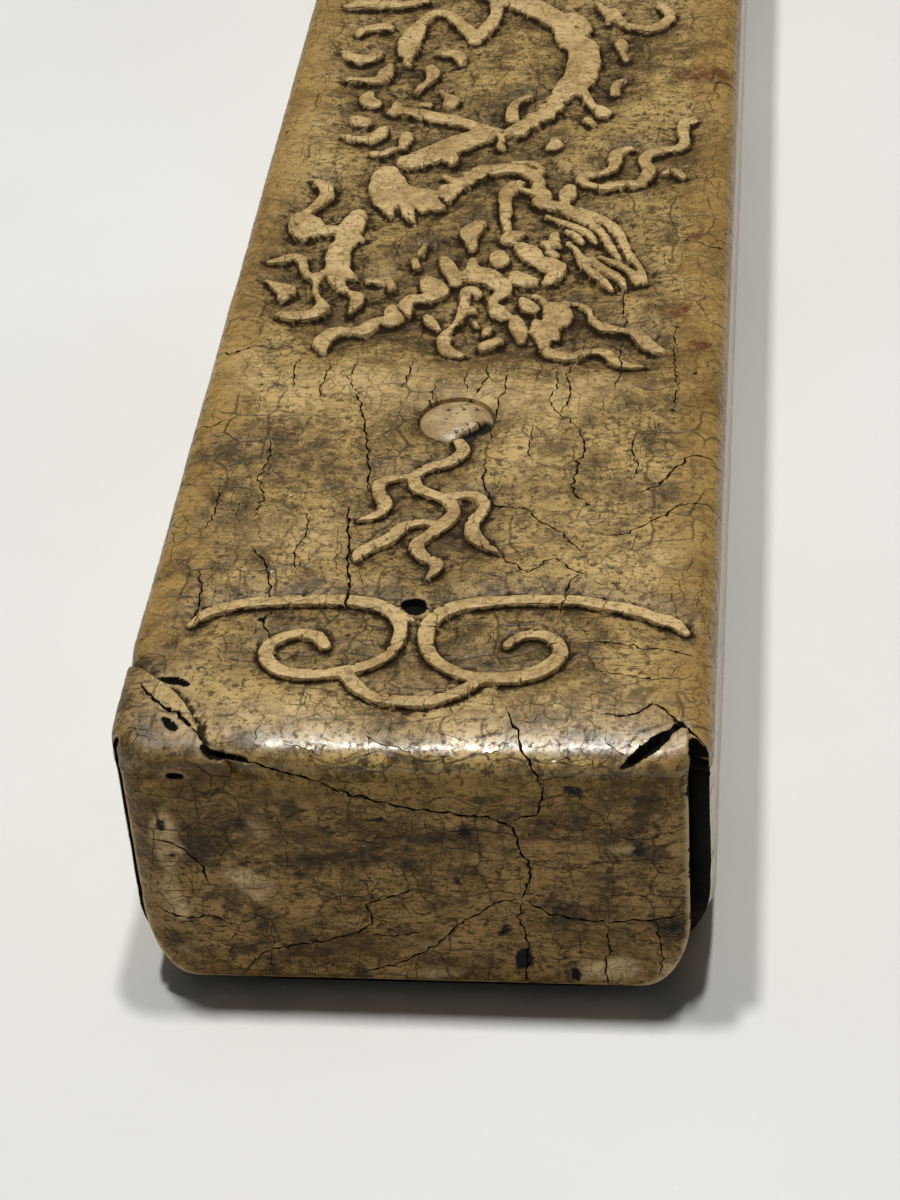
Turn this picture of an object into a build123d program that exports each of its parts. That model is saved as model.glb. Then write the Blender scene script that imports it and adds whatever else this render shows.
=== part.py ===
from build123d import *
import os

# A soft-edged moulded bar of black ink in a gilt lacquer coat. The coat is in
# six pieces: one on top that carries the sunk relief, one below, one on each
# side and one on each end. A domed pearl is set into the top. Sizes are in mm.
# The origin is at the middle of the underside, +Y runs along the bar to its
# far end and +Z is up. Places along the bar are given from the near end.

# overall sizes
length = 125.0
width = 30.0
height = 17.5
edge_radius = 2.4

# the coat
top_thickness = 2.4
under_thickness = 1.0
side_thickness = 1.0
end_thickness = 1.3
end_panel_inset = 1.2

# the narrow upright slots left open at the corners of each end
slot_floor = 5.5
slot_setback = 1.5

# the relief
relief_depth = 0.6
pearl_place = 28.2
pearl_diameter = 4.1
pearl_seat_depth = 1.4
pearl_rim_height = 0.5
bedding_gap = 0.05

half_length = length / 2
half_width = width / 2
length_ratio = length / 125.0
width_ratio = width / 30.0
corner_ratio = min(length_ratio, width_ratio)
wall_base = under_thickness
wall_top = height - top_thickness


def block(x_low, x_high, y_low, y_high, z_low, z_high):
    size = Box(x_high - x_low, y_high - y_low, z_high - z_low)
    centre = Vector(x_low + x_high, y_low + y_high, z_low + z_high) / 2
    return Pos(centre) * size


def place(x, along):
    """A point on the top, from its place across the bar and its place along it."""
    return Vector(x * width_ratio, along * length_ratio - half_length)


def stroke(points):
    """The outline of one relief stroke, from its middle line and its widths."""
    centres = [place(x, along) for x, along, breadth in points]
    left = []
    right = []
    for index, centre in enumerate(centres):
        before = centres[max(index - 1, 0)]
        after = centres[min(index + 1, len(centres) - 1)]
        run = (after - before).normalized()
        across = Vector(-run.Y, run.X) * (points[index][2] / 2)
        left.append(centre + across)
        right.append(centre - across)
    edges = [Spline(left), Line(left[-1], right[-1]), Spline(right), Line(left[0], right[0])]
    return make_face(edges).face()


def blob(x, along, across, lengthwise):
    """A small rounded island of relief."""
    return Pos(place(x, along)) * Ellipse(across / 2, lengthwise / 2).face()


def field(along_start, along_end, x_low, x_high, corner):
    """The outline of one sunk ground."""
    low = place(x_low, along_start)
    high = place(x_high, along_end)
    outline = RectangleRounded(high.X - low.X, high.Y - low.Y, corner * corner_ratio)
    return (Pos((low + high) / 2) * outline).face()


# ---------------------------------------------------------------- whole bar
bar = Pos(0, 0, height / 2) * Box(width, length, height)
bar = fillet(bar.edges(), edge_radius)

# ---------------------------------------------------------------- ink core
# Black pressed ink. It fills the coat and shows in the slots at the corners.
core = block(
    side_thickness - half_width,
    half_width - side_thickness,
    end_thickness - half_length,
    half_length - end_thickness,
    wall_base,
    wall_top,
)
core = fillet(core.edges().filter_by(Axis.Z), edge_radius)

# ---------------------------------------------------------------- wall coat
# The band of coat round the core, between the top and the underside.
wall = bar & block(-half_width, half_width, -half_length, half_length, wall_base, wall_top)
wall = wall - core
end_half = half_width - end_panel_inset
near_zone = block(-end_half, end_half, -half_length, slot_setback - half_length, 0, height)
near_end_skin = wall & near_zone
far_end_skin = mirror(near_end_skin, Plane.XZ)

side_zone = block(0, half_width, -half_length, half_length, wall_base, wall_top)
right_side_skin = (wall & side_zone) - near_zone - mirror(near_zone, Plane.XZ)
slot = block(end_half, half_width, -half_length, slot_setback - half_length, slot_floor, wall_top)
right_side_skin = right_side_skin - slot - mirror(slot, Plane.XZ)
left_side_skin = mirror(right_side_skin, Plane.YZ)

# ---------------------------------------------------------------- underside
under_skin = bar & block(-half_width, half_width, -half_length, half_length, 0, wall_base)

# ---------------------------------------------------------------- relief
# The near end has a cloud-head scroll of two curls and a small bow below them.
near_scroll = [
    stroke([
        (-11.9, 9.7, 0.7), (-10, 11.1, 0.8), (-7.5, 11.6, 0.8), (-4.5, 11.6, 0.8),
        (-2, 11, 0.8), (-0.9, 9.4, 0.8), (-1.3, 7.3, 0.8), (-3.3, 5.9, 0.8),
        (-5.8, 5.6, 0.8), (-7.5, 6.6, 0.8), (-7.2, 8.5, 0.7), (-5.6, 8.7, 0.7),
        (-4.8, 7.6, 0.6),
    ]),
    stroke([
        (13.2, 9.5, 0.7), (11, 10.8, 0.8), (8, 11.8, 0.8), (4.5, 11.8, 0.8),
        (1.5, 11, 0.8), (0.4, 9, 0.8), (1, 6.8, 0.8), (3, 5.5, 0.8),
        (5.4, 5.6, 0.8), (7.1, 7, 0.8), (6.5, 8.8, 0.7), (5.2, 8.9, 0.7),
        (4.5, 8, 0.6),
    ]),
    stroke([
        (-3.3, 5.4, 0.7), (-1.8, 3.9, 0.8), (0.3, 3.6, 0.8), (2.2, 4.2, 0.8),
        (3.2, 5.2, 0.7),
    ]),
]

# Flames rise from the pearl towards the near end.
flames = [
    stroke([
        (0.3, 26, 0.7), (0, 23.9, 0.8), (-1.7, 22.4, 0.8), (-0.9, 21, 0.8),
        (0.7, 19.4, 0.8), (-0.4, 17.3, 0.8), (-0.7, 15.5, 0.8), (0.1, 14.3, 0.7),
        (-0.3, 13.2, 0.4),
    ]),
    stroke([
        (-1.6, 22.5, 0.7), (-3.2, 22.2, 0.8), (-3.4, 20.8, 0.8), (-3.3, 19.3, 0.7),
        (-4.3, 18.5, 0.3),
    ]),
    stroke([(0, 18.3, 0.6), (-1.7, 18, 0.8), (-2.8, 16.5, 0.8), (-4, 15, 0.4)]),
    stroke([
        (0.2, 20.6, 0.6), (1.7, 20.7, 0.8), (2.1, 19, 0.8), (2, 17.2, 0.7),
        (3.4, 15.8, 0.4),
    ]),
]

# The dragon faces the near end, below the pearl.
head = [
    stroke([
        (0.2, 41.1, 0.4), (-0.3, 41.7, 0.5), (-0.7, 40.6, 0.6), (-0.8, 38.6, 0.5),
        (-1.4, 36.8, 0.7), (-1.2, 35.3, 0.6), (-0.4, 34.6, 0.4),
    ]),
    stroke([
        (-0.6, 44.8, 0.6), (-0.1, 43.5, 1.5), (1.1, 42.6, 1.4), (1.5, 41.2, 0.8),
        (1.2, 40, 0.7), (1.7, 38.9, 0.9),
    ]),
    stroke([
        (2.2, 46.6, 0.9), (3, 45.6, 1.3), (4.2, 44.6, 1.3), (4.7, 43.5, 1.2),
        (4.3, 42.6, 0.8),
    ]),
    stroke([(4.9, 40, 1.2), (5.1, 38.8, 1.7), (4.5, 37.2, 1.6), (4.3, 35.8, 0.6)]),
    stroke([(2.6, 38.6, 0.7), (2.8, 37.4, 1), (3.1, 36.1, 0.4)]),
    stroke([(-2.3, 45.1, 0.7), (-1.7, 43.8, 0.9), (-1.3, 42.3, 0.7)]),
    stroke([
        (-3.2, 43, 0.8), (-2.5, 41.6, 1.5), (-3.6, 40.5, 1), (-4, 39, 0.4),
    ]),
    stroke([
        (-4.9, 39.8, 0.6), (-4.8, 38.6, 1.2), (-6.1, 37.5, 0.9), (-7.8, 37.2, 0.7),
        (-8.6, 36, 0.9), (-8.3, 35, 0.4),
    ]),
    stroke([(-0.5, 49.3, 0.9), (-1, 48.2, 1.2), (-0.7, 46.2, 0.4)]),
    blob(1.1, 45, 1.1, 1.4),
    blob(2.7, 42.8, 1.6, 1.6),
    blob(1.5, 47.6, 1.3, 1.4),
    blob(3.2, 40, 1.2, 1.2),
    blob(4.1, 47.2, 0.9, 1.7),
    blob(1.3, 35.7, 1, 1),
]
horns_and_whiskers = [
    stroke([
        (1.6, 54.1, 0.7), (1, 53, 1), (0.9, 51, 0.8), (1.1, 49.5, 0.6), (1.3, 48.4, 0.4),
    ]),
    stroke([
        (-1, 55.8, 1), (0.7, 56, 1.1), (2.3, 55.2, 1), (2.8, 53.8, 0.8), (3.2, 52.2, 0.9),
        (4.6, 51.2, 0.8), (6.3, 49.3, 0.6), (7.4, 47.6, 0.5), (8.2, 45.3, 0.3),
    ]),
    stroke([
        (5.8, 50.6, 0.3), (7.5, 49.3, 0.5), (8.4, 47.2, 0.5), (9.3, 44.6, 0.5),
        (9.9, 42.8, 0.3),
    ]),
    stroke([
        (5.2, 47, 0.3), (6, 45.2, 0.4), (6.9, 43.4, 0.5), (8, 41.7, 0.3),
    ]),
    stroke([(6.9, 44.9, 0.3), (7.9, 43.5, 0.6), (8.8, 42, 0.3)]),
    stroke([(4.8, 53.6, 0.8), (4.7, 52.6, 1), (4.6, 51.2, 0.6)]),
    stroke([
        (4.4, 35.6, 0.5), (5.5, 34.4, 0.7), (6.6, 34.8, 0.6), (7.8, 34.9, 0.5),
        (8.8, 33.9, 0.7), (10.2, 33.4, 0.4),
    ]),
    stroke([
        (6.2, 40.1, 0.3), (7, 38.7, 0.4), (8, 37.4, 0.6), (9.4, 37, 0.5),
        (10.3, 35.9, 0.8), (11.2, 35.2, 0.4),
    ]),
]
fore_leg = [
    stroke([
        (-8.1, 50.6, 0.9), (-8.5, 48.8, 1.5), (-8.8, 46, 1.5), (-8.7, 44, 1.3),
        (-8.2, 42.3, 0.8), (-7.7, 41.4, 0.5),
    ]),
    stroke([(-7.6, 41.4, 0.5), (-7.1, 40.4, 0.8), (-7.3, 39.2, 0.3)]),
    stroke([
        (-9.3, 43.6, 0.6), (-10.4, 43.4, 0.6), (-11, 45.1, 0.6), (-12, 45.2, 0.7),
        (-12.9, 44.6, 0.4),
    ]),
    stroke([(-12.8, 42.5, 0.4), (-11.8, 41.6, 1.1), (-11.7, 40.7, 0.4)]),
    stroke([
        (-11.6, 39, 0.4), (-10.2, 38.7, 0.8), (-9.2, 39.5, 0.8), (-9.5, 40.9, 0.3),
    ]),
    stroke([
        (-11.5, 54.6, 0.5), (-10.6, 53.6, 0.8), (-10.7, 52.1, 0.9), (-11.6, 50.7, 0.7),
        (-12.1, 49.1, 0.7), (-11.3, 47.8, 0.6),
    ]),
    stroke([(-11.3, 50, 0.9), (-10.6, 48.9, 1.2), (-9, 48.5, 0.9)]),
]
mane = [
    stroke([
        (-7.2, 56.2, 0.6), (-7.1, 54.3, 1.6), (-6.9, 52.6, 1.5), (-6.2, 50.5, 0.3),
    ]),
    stroke([(-5.4, 53, 0.8), (-5.2, 51.5, 0.9), (-4.7, 49.4, 0.3)]),
    stroke([(-4.4, 53.2, 0.9), (-4.2, 52, 1.2), (-4.2, 50.9, 0.6)]),
    stroke([(-3.9, 53, 0.5), (-3.3, 51.7, 0.9), (-3.2, 51.1, 0.6)]),
]
body = [
    stroke([
        (-5.9, 56.6, 1.6), (-4.2, 58, 2.1), (-1.8, 60, 1.9), (0.8, 60.8, 1.7),
        (2.6, 63, 1.8), (4.1, 66, 2), (4.7, 69, 2.2), (4.5, 72.3, 2), (3.3, 75.2, 2),
        (1.2, 77.6, 2), (-1.4, 79.6, 2.1), (-3.8, 82.2, 2.2), (-4.9, 85.6, 2.2),
        (-3.9, 89.2, 2.1), (-1, 91.6, 2), (2, 93.4, 1.9), (3.6, 96.4, 1.7),
        (2.7, 99.6, 1.4), (0.2, 101.4, 1.1), (-2.6, 102.4, 0.8), (-4.6, 104.2, 0.4),
    ]),
    stroke([
        (-7.3, 63.7, 1), (-5.5, 63.2, 1.1), (-3.5, 62.6, 1), (-1, 61.1, 1.1),
    ]),
    stroke([
        (-7.4, 71.4, 1.1), (-7.3, 74, 1.5), (-6.5, 76.7, 0.9), (-5.6, 77.6, 0.8),
        (-4.4, 76.3, 0.8), (-2.9, 73.2, 1),
    ]),
    stroke([(-2.9, 73.2, 1), (-2.1, 75.4, 0.9), (-1.7, 78.4, 0.8)]),
    stroke([(3.2, 96, 1.1), (6, 95.4, 1.4), (8.2, 93.6, 1.1), (8.8, 91, 0.9)]),
    stroke([(-4.4, 86, 1.1), (-7, 87.6, 1.4), (-9, 90, 1), (-8.8, 92.6, 0.9)]),
]
hind_claws = [
    stroke([(8.8, 91.2, 0.8), (10.2, 90, 0.7), (10.6, 88.4, 0.3)]),
    stroke([(8.7, 91, 0.8), (8.6, 89.2, 0.7), (7.8, 87.8, 0.3)]),
    stroke([(-8.8, 92.4, 0.8), (-10.4, 93.4, 0.7), (-11, 95, 0.3)]),
    stroke([(-8.8, 92.4, 0.8), (-8.2, 94.2, 0.7), (-8.8, 95.8, 0.3)]),
    stroke([(-4.2, 103.9, 0.5), (-6.4, 103.6, 0.8), (-7.4, 102, 0.3)]),
    stroke([(-4.2, 103.9, 0.5), (-5.2, 106, 0.8), (-7, 107, 0.3)]),
]

# Cloud wisps drift either side of the dragon.
clouds = [
    stroke([
        (8.1, 58.4, 0.6), (7.4, 57.2, 0.7), (7.2, 55.7, 0.6), (5.8, 55, 0.7),
        (6.3, 53.8, 0.6), (8, 54, 0.6), (9.4, 54.6, 0.7), (9.6, 56.2, 0.7),
        (9.5, 57.8, 0.7), (11.2, 58.3, 0.6), (11.8, 60, 0.6), (11.8, 61.8, 0.8),
    ]),
    stroke([(-10.2, 60.4, 0.4), (-9, 60, 0.7), (-8.2, 60.4, 1), (-7.8, 61.2, 0.4)]),
    stroke([(-11.9, 71.9, 0.5), (-10.8, 70.7, 0.9), (-9.3, 71.7, 0.6)]),
    stroke([(-10.8, 67.8, 0.6), (-9, 68, 0.9), (-8.4, 69.4, 0.8)]),
    stroke([(-6.1, 66.2, 0.4), (-5.4, 68, 0.7), (-5.8, 69.5, 0.5)]),
    stroke([(-4.8, 71.4, 0.7), (-3.8, 71, 0.8), (-3.5, 70, 0.4)]),
    stroke([
        (6.4, 77.3, 0.4), (7.4, 75.5, 0.6), (9, 74.9, 0.8), (10.1, 76.2, 0.7),
        (9.9, 78, 0.6),
    ]),
    stroke([(5.3, 65.4, 0.6), (6, 63.9, 0.6), (6.6, 63.1, 0.9)]),
    stroke([(6.5, 82.4, 0.5), (8, 81.4, 0.8), (9.8, 82.4, 0.8), (9.4, 84.2, 0.5)]),
    stroke([(-11, 80.4, 0.5), (-9.6, 79.2, 0.8), (-7.9, 80.2, 0.8), (-8.2, 82, 0.5)]),
    stroke([(6.2, 101.4, 0.5), (7.6, 100.2, 0.8), (9.4, 101, 0.8), (9.4, 103, 0.5)]),
    stroke([(-10.6, 99.6, 0.5), (-9.2, 98.6, 0.7), (-7.6, 99.4, 0.5)]),
    stroke([(0.6, 106.4, 0.5), (2.2, 105.3, 0.8), (4.2, 106.2, 0.8), (5.8, 105.2, 0.5)]),
    blob(-9.4, 62.2, 1.6, 1.4),
    blob(-9.3, 64.9, 1.5, 1.5),
    blob(-3.8, 64.8, 1.1, 1.2),
    blob(3.5, 59, 1.1, 1.4),
    blob(7.1, 72.5, 0.8, 1.4),
    blob(7.1, 66, 0.8, 1.6),
]

# The far end carries the same scroll turned to face its own end.
far_scroll = [Rot(Z=180) * outline for outline in near_scroll]

near_ground = field(2.8, 13, -11.6, 12.4, 4.5)
pearl_ground = field(13.9, 31.6, -5.6, 5.2, 4.5)
dragon_ground = field(32.6, 109.4, -12.4, 12.4, 5)
far_ground = Rot(Z=180) * near_ground

top_skin = bar & block(-half_width, half_width, -half_length, half_length, wall_top, height)
grounds = [
    (near_ground, near_scroll),
    (pearl_ground, flames),
    (dragon_ground, head + horns_and_whiskers + fore_leg + mane + body + hind_claws + clouds),
    (far_ground, far_scroll),
]
for ground, strokes in grounds:
    sunk = ground.cut(*strokes)
    top_skin = top_skin - Pos(0, 0, height) * extrude(Sketch() + sunk.faces(), -relief_depth)

# ---------------------------------------------------------------- pearl
# A polished domed disc bedded in a round socket above the dragon's head.
pearl_radius = pearl_diameter / 2
pearl_centre = place(0, pearl_place)
socket_radius = pearl_radius + bedding_gap
socket = Cylinder(socket_radius, pearl_seat_depth, align=(Align.CENTER, Align.CENTER, Align.MAX))
top_skin = top_skin - Pos(pearl_centre.X, pearl_centre.Y, height) * socket

pearl_base = height - pearl_seat_depth
pearl_rim = height - pearl_rim_height
pearl_edges = [
    Line((0, height), (0, pearl_base)),
    Line((0, pearl_base), (pearl_radius, pearl_base)),
    Line((pearl_radius, pearl_base), (pearl_radius, pearl_rim)),
    Spline((pearl_radius, pearl_rim), (0, height), tangents=((-1, 1.5), (-1, 0))),
]
pearl_profile = Plane.XZ * make_face(pearl_edges)
pearl = Pos(pearl_centre.X, pearl_centre.Y) * revolve(pearl_profile, Axis.Z)

# ---------------------------------------------------------------- write out
pieces = {
    "ink_core": core,
    "top_skin": top_skin,
    "under_skin": under_skin,
    "left_side_skin": left_side_skin,
    "right_side_skin": right_side_skin,
    "near_end_skin": near_end_skin,
    "far_end_skin": far_end_skin,
    "pearl": pearl,
}
os.makedirs("parts", exist_ok=True)
for name, piece in pieces.items():
    export_step(piece, f"parts/{name}.step")
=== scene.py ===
import bpy
import numpy as np
from mathutils import Matrix, Vector, kdtree
from mathutils.geometry import delaunay_2d_cdt


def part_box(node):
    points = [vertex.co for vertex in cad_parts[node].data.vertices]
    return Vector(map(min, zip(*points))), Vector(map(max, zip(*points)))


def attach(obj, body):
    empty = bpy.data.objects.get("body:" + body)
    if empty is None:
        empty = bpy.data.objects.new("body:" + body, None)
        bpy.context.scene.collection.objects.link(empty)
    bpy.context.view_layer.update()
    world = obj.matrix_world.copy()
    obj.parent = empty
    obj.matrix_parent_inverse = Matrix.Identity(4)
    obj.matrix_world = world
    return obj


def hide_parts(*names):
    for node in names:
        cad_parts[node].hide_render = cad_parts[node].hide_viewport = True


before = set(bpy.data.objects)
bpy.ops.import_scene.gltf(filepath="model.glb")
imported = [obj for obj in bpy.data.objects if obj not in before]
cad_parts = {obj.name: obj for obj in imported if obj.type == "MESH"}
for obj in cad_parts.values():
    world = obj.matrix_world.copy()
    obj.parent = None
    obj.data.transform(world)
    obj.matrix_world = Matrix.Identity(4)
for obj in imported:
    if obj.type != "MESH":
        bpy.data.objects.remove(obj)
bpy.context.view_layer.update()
bpy.ops.object.select_all(action="DESELECT")

# ---------------------------------------------------------------- coat on the top
# The gilt lacquer skin on the top of the bar. The picture is moulded in it: worn strokes stand at
# the level of the bar's face and the ground is dished down beside them. It rolls over on all four
# sides and is crazed all over, with deeper cracks and chips near its two near corners.

MM = 0.001
low, high = (np.array(corner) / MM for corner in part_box("top_skin"))
bar_length = high[1] - low[1]
bar_width = high[0] - low[0]
bar_height = high[2]
half_length = bar_length / 2
half_width = bar_width / 2
roll = bar_height - low[2]                 # radius of the bar's upright corners
roll_run = roll * np.pi / 2
tight = 1.35                               # radius of the edges round the top
worn_from = half_length - 4.3              # the top slopes away beyond here, worn by handling
flat_x = half_width - roll
flat_y = half_length - roll

# The strokes of the picture. Each is a run of points with a place across the bar, a place along it
# from the near end, and the stroke's breadth there, all in mm.
near_scroll = [
    [(-12, 9.4, 0.4), (-11.1, 10.5, 0.7), (-9.5, 11.2, 0.8), (-7.5, 11.5, 0.8), (-5.5, 11.6, 0.8),
     (-3.5, 11.5, 0.85), (-2.1, 11, 0.9), (-1.4, 10.3, 0.9), (-1.1, 9.4, 0.75), (-1.1, 8.5, 0.7),
     (-1.4, 7.4, 0.65), (-2.2, 6.5, 0.7), (-3.5, 5.9, 0.75), (-4.8, 5.6, 0.7), (-6, 5.6, 0.75),
     (-7, 6, 0.8), (-7.7, 6.9, 0.8), (-7.7, 7.8, 0.75), (-7.1, 8.5, 0.7), (-6.2, 8.8, 0.7),
     (-5.3, 8.6, 0.75), (-4.8, 7.9, 0.7)],
    [(13.4, 9.2, 0.4), (12.7, 10, 0.8), (11.5, 10.6, 0.85), (10, 11.2, 0.8), (8, 11.7, 0.75),
     (6, 11.8, 0.75), (4, 11.7, 0.8), (2, 11.3, 0.9), (0.9, 10.6, 0.9), (0.3, 9.5, 0.9),
     (0.4, 8, 0.8), (0.9, 6.9, 0.75), (1.9, 6, 0.75), (3, 5.5, 0.8), (4.2, 5.4, 0.85),
     (5.5, 5.6, 0.95), (6.6, 6.3, 0.95), (7.2, 7.3, 0.85), (7, 8.3, 0.75), (6.2, 8.9, 0.7),
     (5.2, 8.8, 0.65), (4.5, 8.1, 0.6)],
    [(-3.5, 5.7, 0.7), (-2.8, 4.7, 0.8), (-1.8, 3.9, 0.75), (-0.3, 3.6, 0.7), (1, 3.7, 0.7),
     (2.2, 4.2, 0.75), (3, 4.9, 0.8), (3.4, 5.5, 0.7)],
    [(-1.3, 10.5, 0.6), (-0.8, 10.1, 0.5), (-0.4, 9.8, 0.15)],
]
corner_fold = [
    [(-15.6, 4.6, 4.4), (-14.6, 3.2, 5), (-13.6, 2.2, 5), (-12.9, 1.2, 5), (-12.1, 0.4, 4.4),
     (-11.2, -0.3, 4), (-10.3, -0.7, 3.2)],
    [(-16.4, 2.6, 5), (-15, 0.4, 5), (-13.6, -1, 5), (-11.6, -2.2, 5)],
]
flames = [
    [(0.2, 26.2, 0.6), (0.7, 25, 0.8), (0, 23.9, 0.8), (-1, 23.4, 0.7), (-1.7, 22.6, 0.7),
     (-1.5, 21.5, 0.8), (-0.6, 20.9, 0.7), (0.3, 20.3, 0.75), (0.7, 19.2, 0.8), (0.2, 18.1, 0.85),
     (-0.6, 17, 0.7), (-1, 16.3, 0.8), (-0.6, 15.4, 0.75), (0.2, 14.7, 0.8), (0.1, 14, 0.6),
     (-0.3, 13.2, 0.2)],
    [(-1.7, 22.5, 0.5), (-2.6, 22.4, 0.5), (-3.5, 22, 0.8), (-3.5, 21, 0.8), (-3.1, 20, 0.9),
     (-3.4, 19, 0.7), (-4.4, 18.5, 0.2)],
    [(0, 18.2, 0.5), (-1, 18.3, 0.6), (-1.9, 17.9, 0.75), (-2.5, 16.9, 0.85), (-3.4, 16.2, 0.8),
     (-4, 15.5, 0.7), (-4.1, 15, 0.3)],
    [(0.3, 20.7, 0.6), (1.5, 20.8, 0.7), (2.2, 20.3, 0.75), (2.2, 19.3, 0.75), (1.8, 18.3, 0.85),
     (2, 17.2, 0.9), (2.6, 16.4, 0.7), (3.5, 15.7, 0.2)],
]
dragon_face = [
    [(0.1, 40.9, 0.3), (0.1, 41.4, 0.4), (-0.3, 41.7, 0.45), (-0.7, 41.3, 0.5), (-0.6, 40, 0.5),
     (-0.7, 39, 0.45), (-0.9, 38, 0.35), (-1.3, 37.2, 0.5), (-1.5, 36.3, 0.65), (-1.4, 35.6, 0.6),
     (-1, 35, 0.6), (-0.4, 34.6, 0.4)],
    [(-0.6, 39.5, 0.5), (-0.1, 39.4, 0.5)],
    [(-0.6, 45, 0.3), (-0.5, 44.1, 0.8), (-0.2, 43.4, 1.5), (0.6, 43.1, 1.5), (1.3, 42.3, 1.2),
     (1.6, 41.5, 0.9), (1.3, 40.9, 0.7), (1, 40.5, 0.5), (1.2, 39.9, 0.6), (1.5, 39.3, 1),
     (1.8, 38.9, 0.8)],
    [(0.95, 45.6, 0.9), (1.1, 45, 1.1), (1.15, 44.5, 0.5)],
    [(2.2, 43.3, 0.9), (2.6, 42.9, 1.3), (2.9, 42.6, 1.2)],
    [(2.1, 48.1, 0.4), (1.6, 47.9, 1), (1.5, 47.4, 1.1)],
    [(2.2, 46.6, 0.6), (2.7, 46.1, 1.2), (3.1, 45.4, 1.1), (3.5, 44.9, 0.9), (4.2, 44.5, 1.4),
     (4.6, 43.7, 1.1), (4.4, 43, 0.9), (4.2, 42.6, 0.6)],
    [(4.2, 48, 0.5), (4.2, 47.3, 0.7), (4, 46.9, 0.8), (3.6, 47, 0.4)],
    [(4.2, 47.2, 0.4), (4.5, 46.6, 0.3)],
    [(4, 46, 0.3), (4.4, 45.7, 0.4)],
    [(2.8, 40.6, 0.3), (3.1, 40, 0.9), (3.4, 39.6, 0.8)],
    [(3.5, 40.9, 0.3), (4.1, 40.3, 0.25)],
    [(2.5, 38.5, 0.5), (2.7, 37.8, 0.9), (2.9, 37, 0.7), (3.1, 36.2, 0.3)],
    [(4.6, 39.8, 0.8), (5, 39.2, 1.6), (5, 38.5, 1.5)],
    [(3.8, 38.2, 0.5), (4.2, 37.5, 1.3), (4.4, 36.7, 1.1), (4.4, 35.9, 0.5)],
    [(4.8, 38.2, 1), (4.9, 37.2, 0.6), (5, 36.4, 0.4)],
    [(1, 35.5, 0.7), (1.6, 36.1, 0.7)],
    [(0.15, 38.1, 0.25), (0.3, 37.8, 0.3)],
    [(1, 37.4, 0.4), (0.9, 36.9, 0.4)],
    [(-0.5, 49.2, 0.8), (-0.9, 48.6, 1.2), (-1, 48, 1.1), (-0.8, 47.2, 0.6), (-0.7, 46.3, 0.3)],
    [(-2.3, 45.1, 0.5), (-1.9, 44.2, 0.9), (-1.5, 43.2, 0.8), (-1.3, 42.4, 0.5)],
    [(-3.2, 42.9, 0.5), (-2.7, 42.1, 1.4), (-2.4, 41.4, 1.3), (-3, 40.7, 0.8), (-3.8, 40.6, 0.8),
     (-4.1, 40, 0.8), (-3.8, 39, 0.25)],
    [(-4.9, 39.7, 0.4), (-4.8, 39, 1), (-4.7, 38.3, 1.1), (-5.6, 38.3, 0.5), (-6, 37.7, 0.9),
     (-6.3, 37.2, 0.8), (-7.2, 37.2, 0.5), (-8, 37.1, 0.8), (-8.5, 36.4, 0.9), (-8.6, 35.7, 0.8),
     (-8.4, 35, 0.3)],
    [(-2.8, 38.9, 0.25), (-2.4, 38.1, 0.5), (-1.9, 37.4, 0.2)],
    [(-6.6, 42.7, 0.35), (-5.9, 42.6, 0.4)],
    [(-5.6, 42.9, 0.5), (-5.2, 42.3, 0.5), (-5.2, 41.7, 0.2)],
    [(-4.1, 45, 0.3), (-3.9, 44.3, 0.4)],
    [(-3.6, 46.8, 0.2), (-3.8, 45.8, 0.3)],
]
horns = [
    [(1.6, 54.1, 0.6), (1.1, 53.5, 1), (0.9, 52.5, 0.9), (0.9, 51.5, 0.75), (1, 50.5, 0.65),
     (1.1, 49.5, 0.5), (1.3, 48.4, 0.3)],
    [(1.5, 53.6, 0.4), (2.1, 53.2, 0.35), (2.6, 52.9, 0.4)],
    [(-0.9, 55.9, 0.9), (-0.2, 55.8, 1.2), (0.7, 56, 1), (1.6, 55.7, 0.95), (2.3, 55.2, 0.9),
     (2.8, 54.4, 0.75), (2.8, 53.7, 0.7), (3, 53, 0.95), (3.3, 52.3, 0.8), (3, 51.8, 0.8),
     (3.8, 51.4, 0.8), (4.5, 51.2, 0.8), (5.1, 50.5, 0.75), (5.8, 49.8, 0.65), (6.4, 49.2, 0.55),
     (6.9, 48.5, 0.4), (7.3, 47.7, 0.4), (7.6, 46.8, 0.35), (8, 45.8, 0.3), (8.3, 45, 0.15)],
    [(1, 56.7, 0.2), (2, 56.6, 0.3), (2.7, 56.1, 0.3), (3, 55.5, 0.2)],
    [(-1.3, 55.7, 0.6), (-1.3, 55, 0.5), (-1.3, 54.6, 0.3)],
    [(4.8, 53.5, 0.8), (4.7, 52.8, 1), (4.6, 52, 0.6), (4.6, 51.3, 0.5)],
    [(3.4, 59.6, 0.4), (3.5, 59, 0.9), (3.3, 58.7, 0.7)],
]
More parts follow.
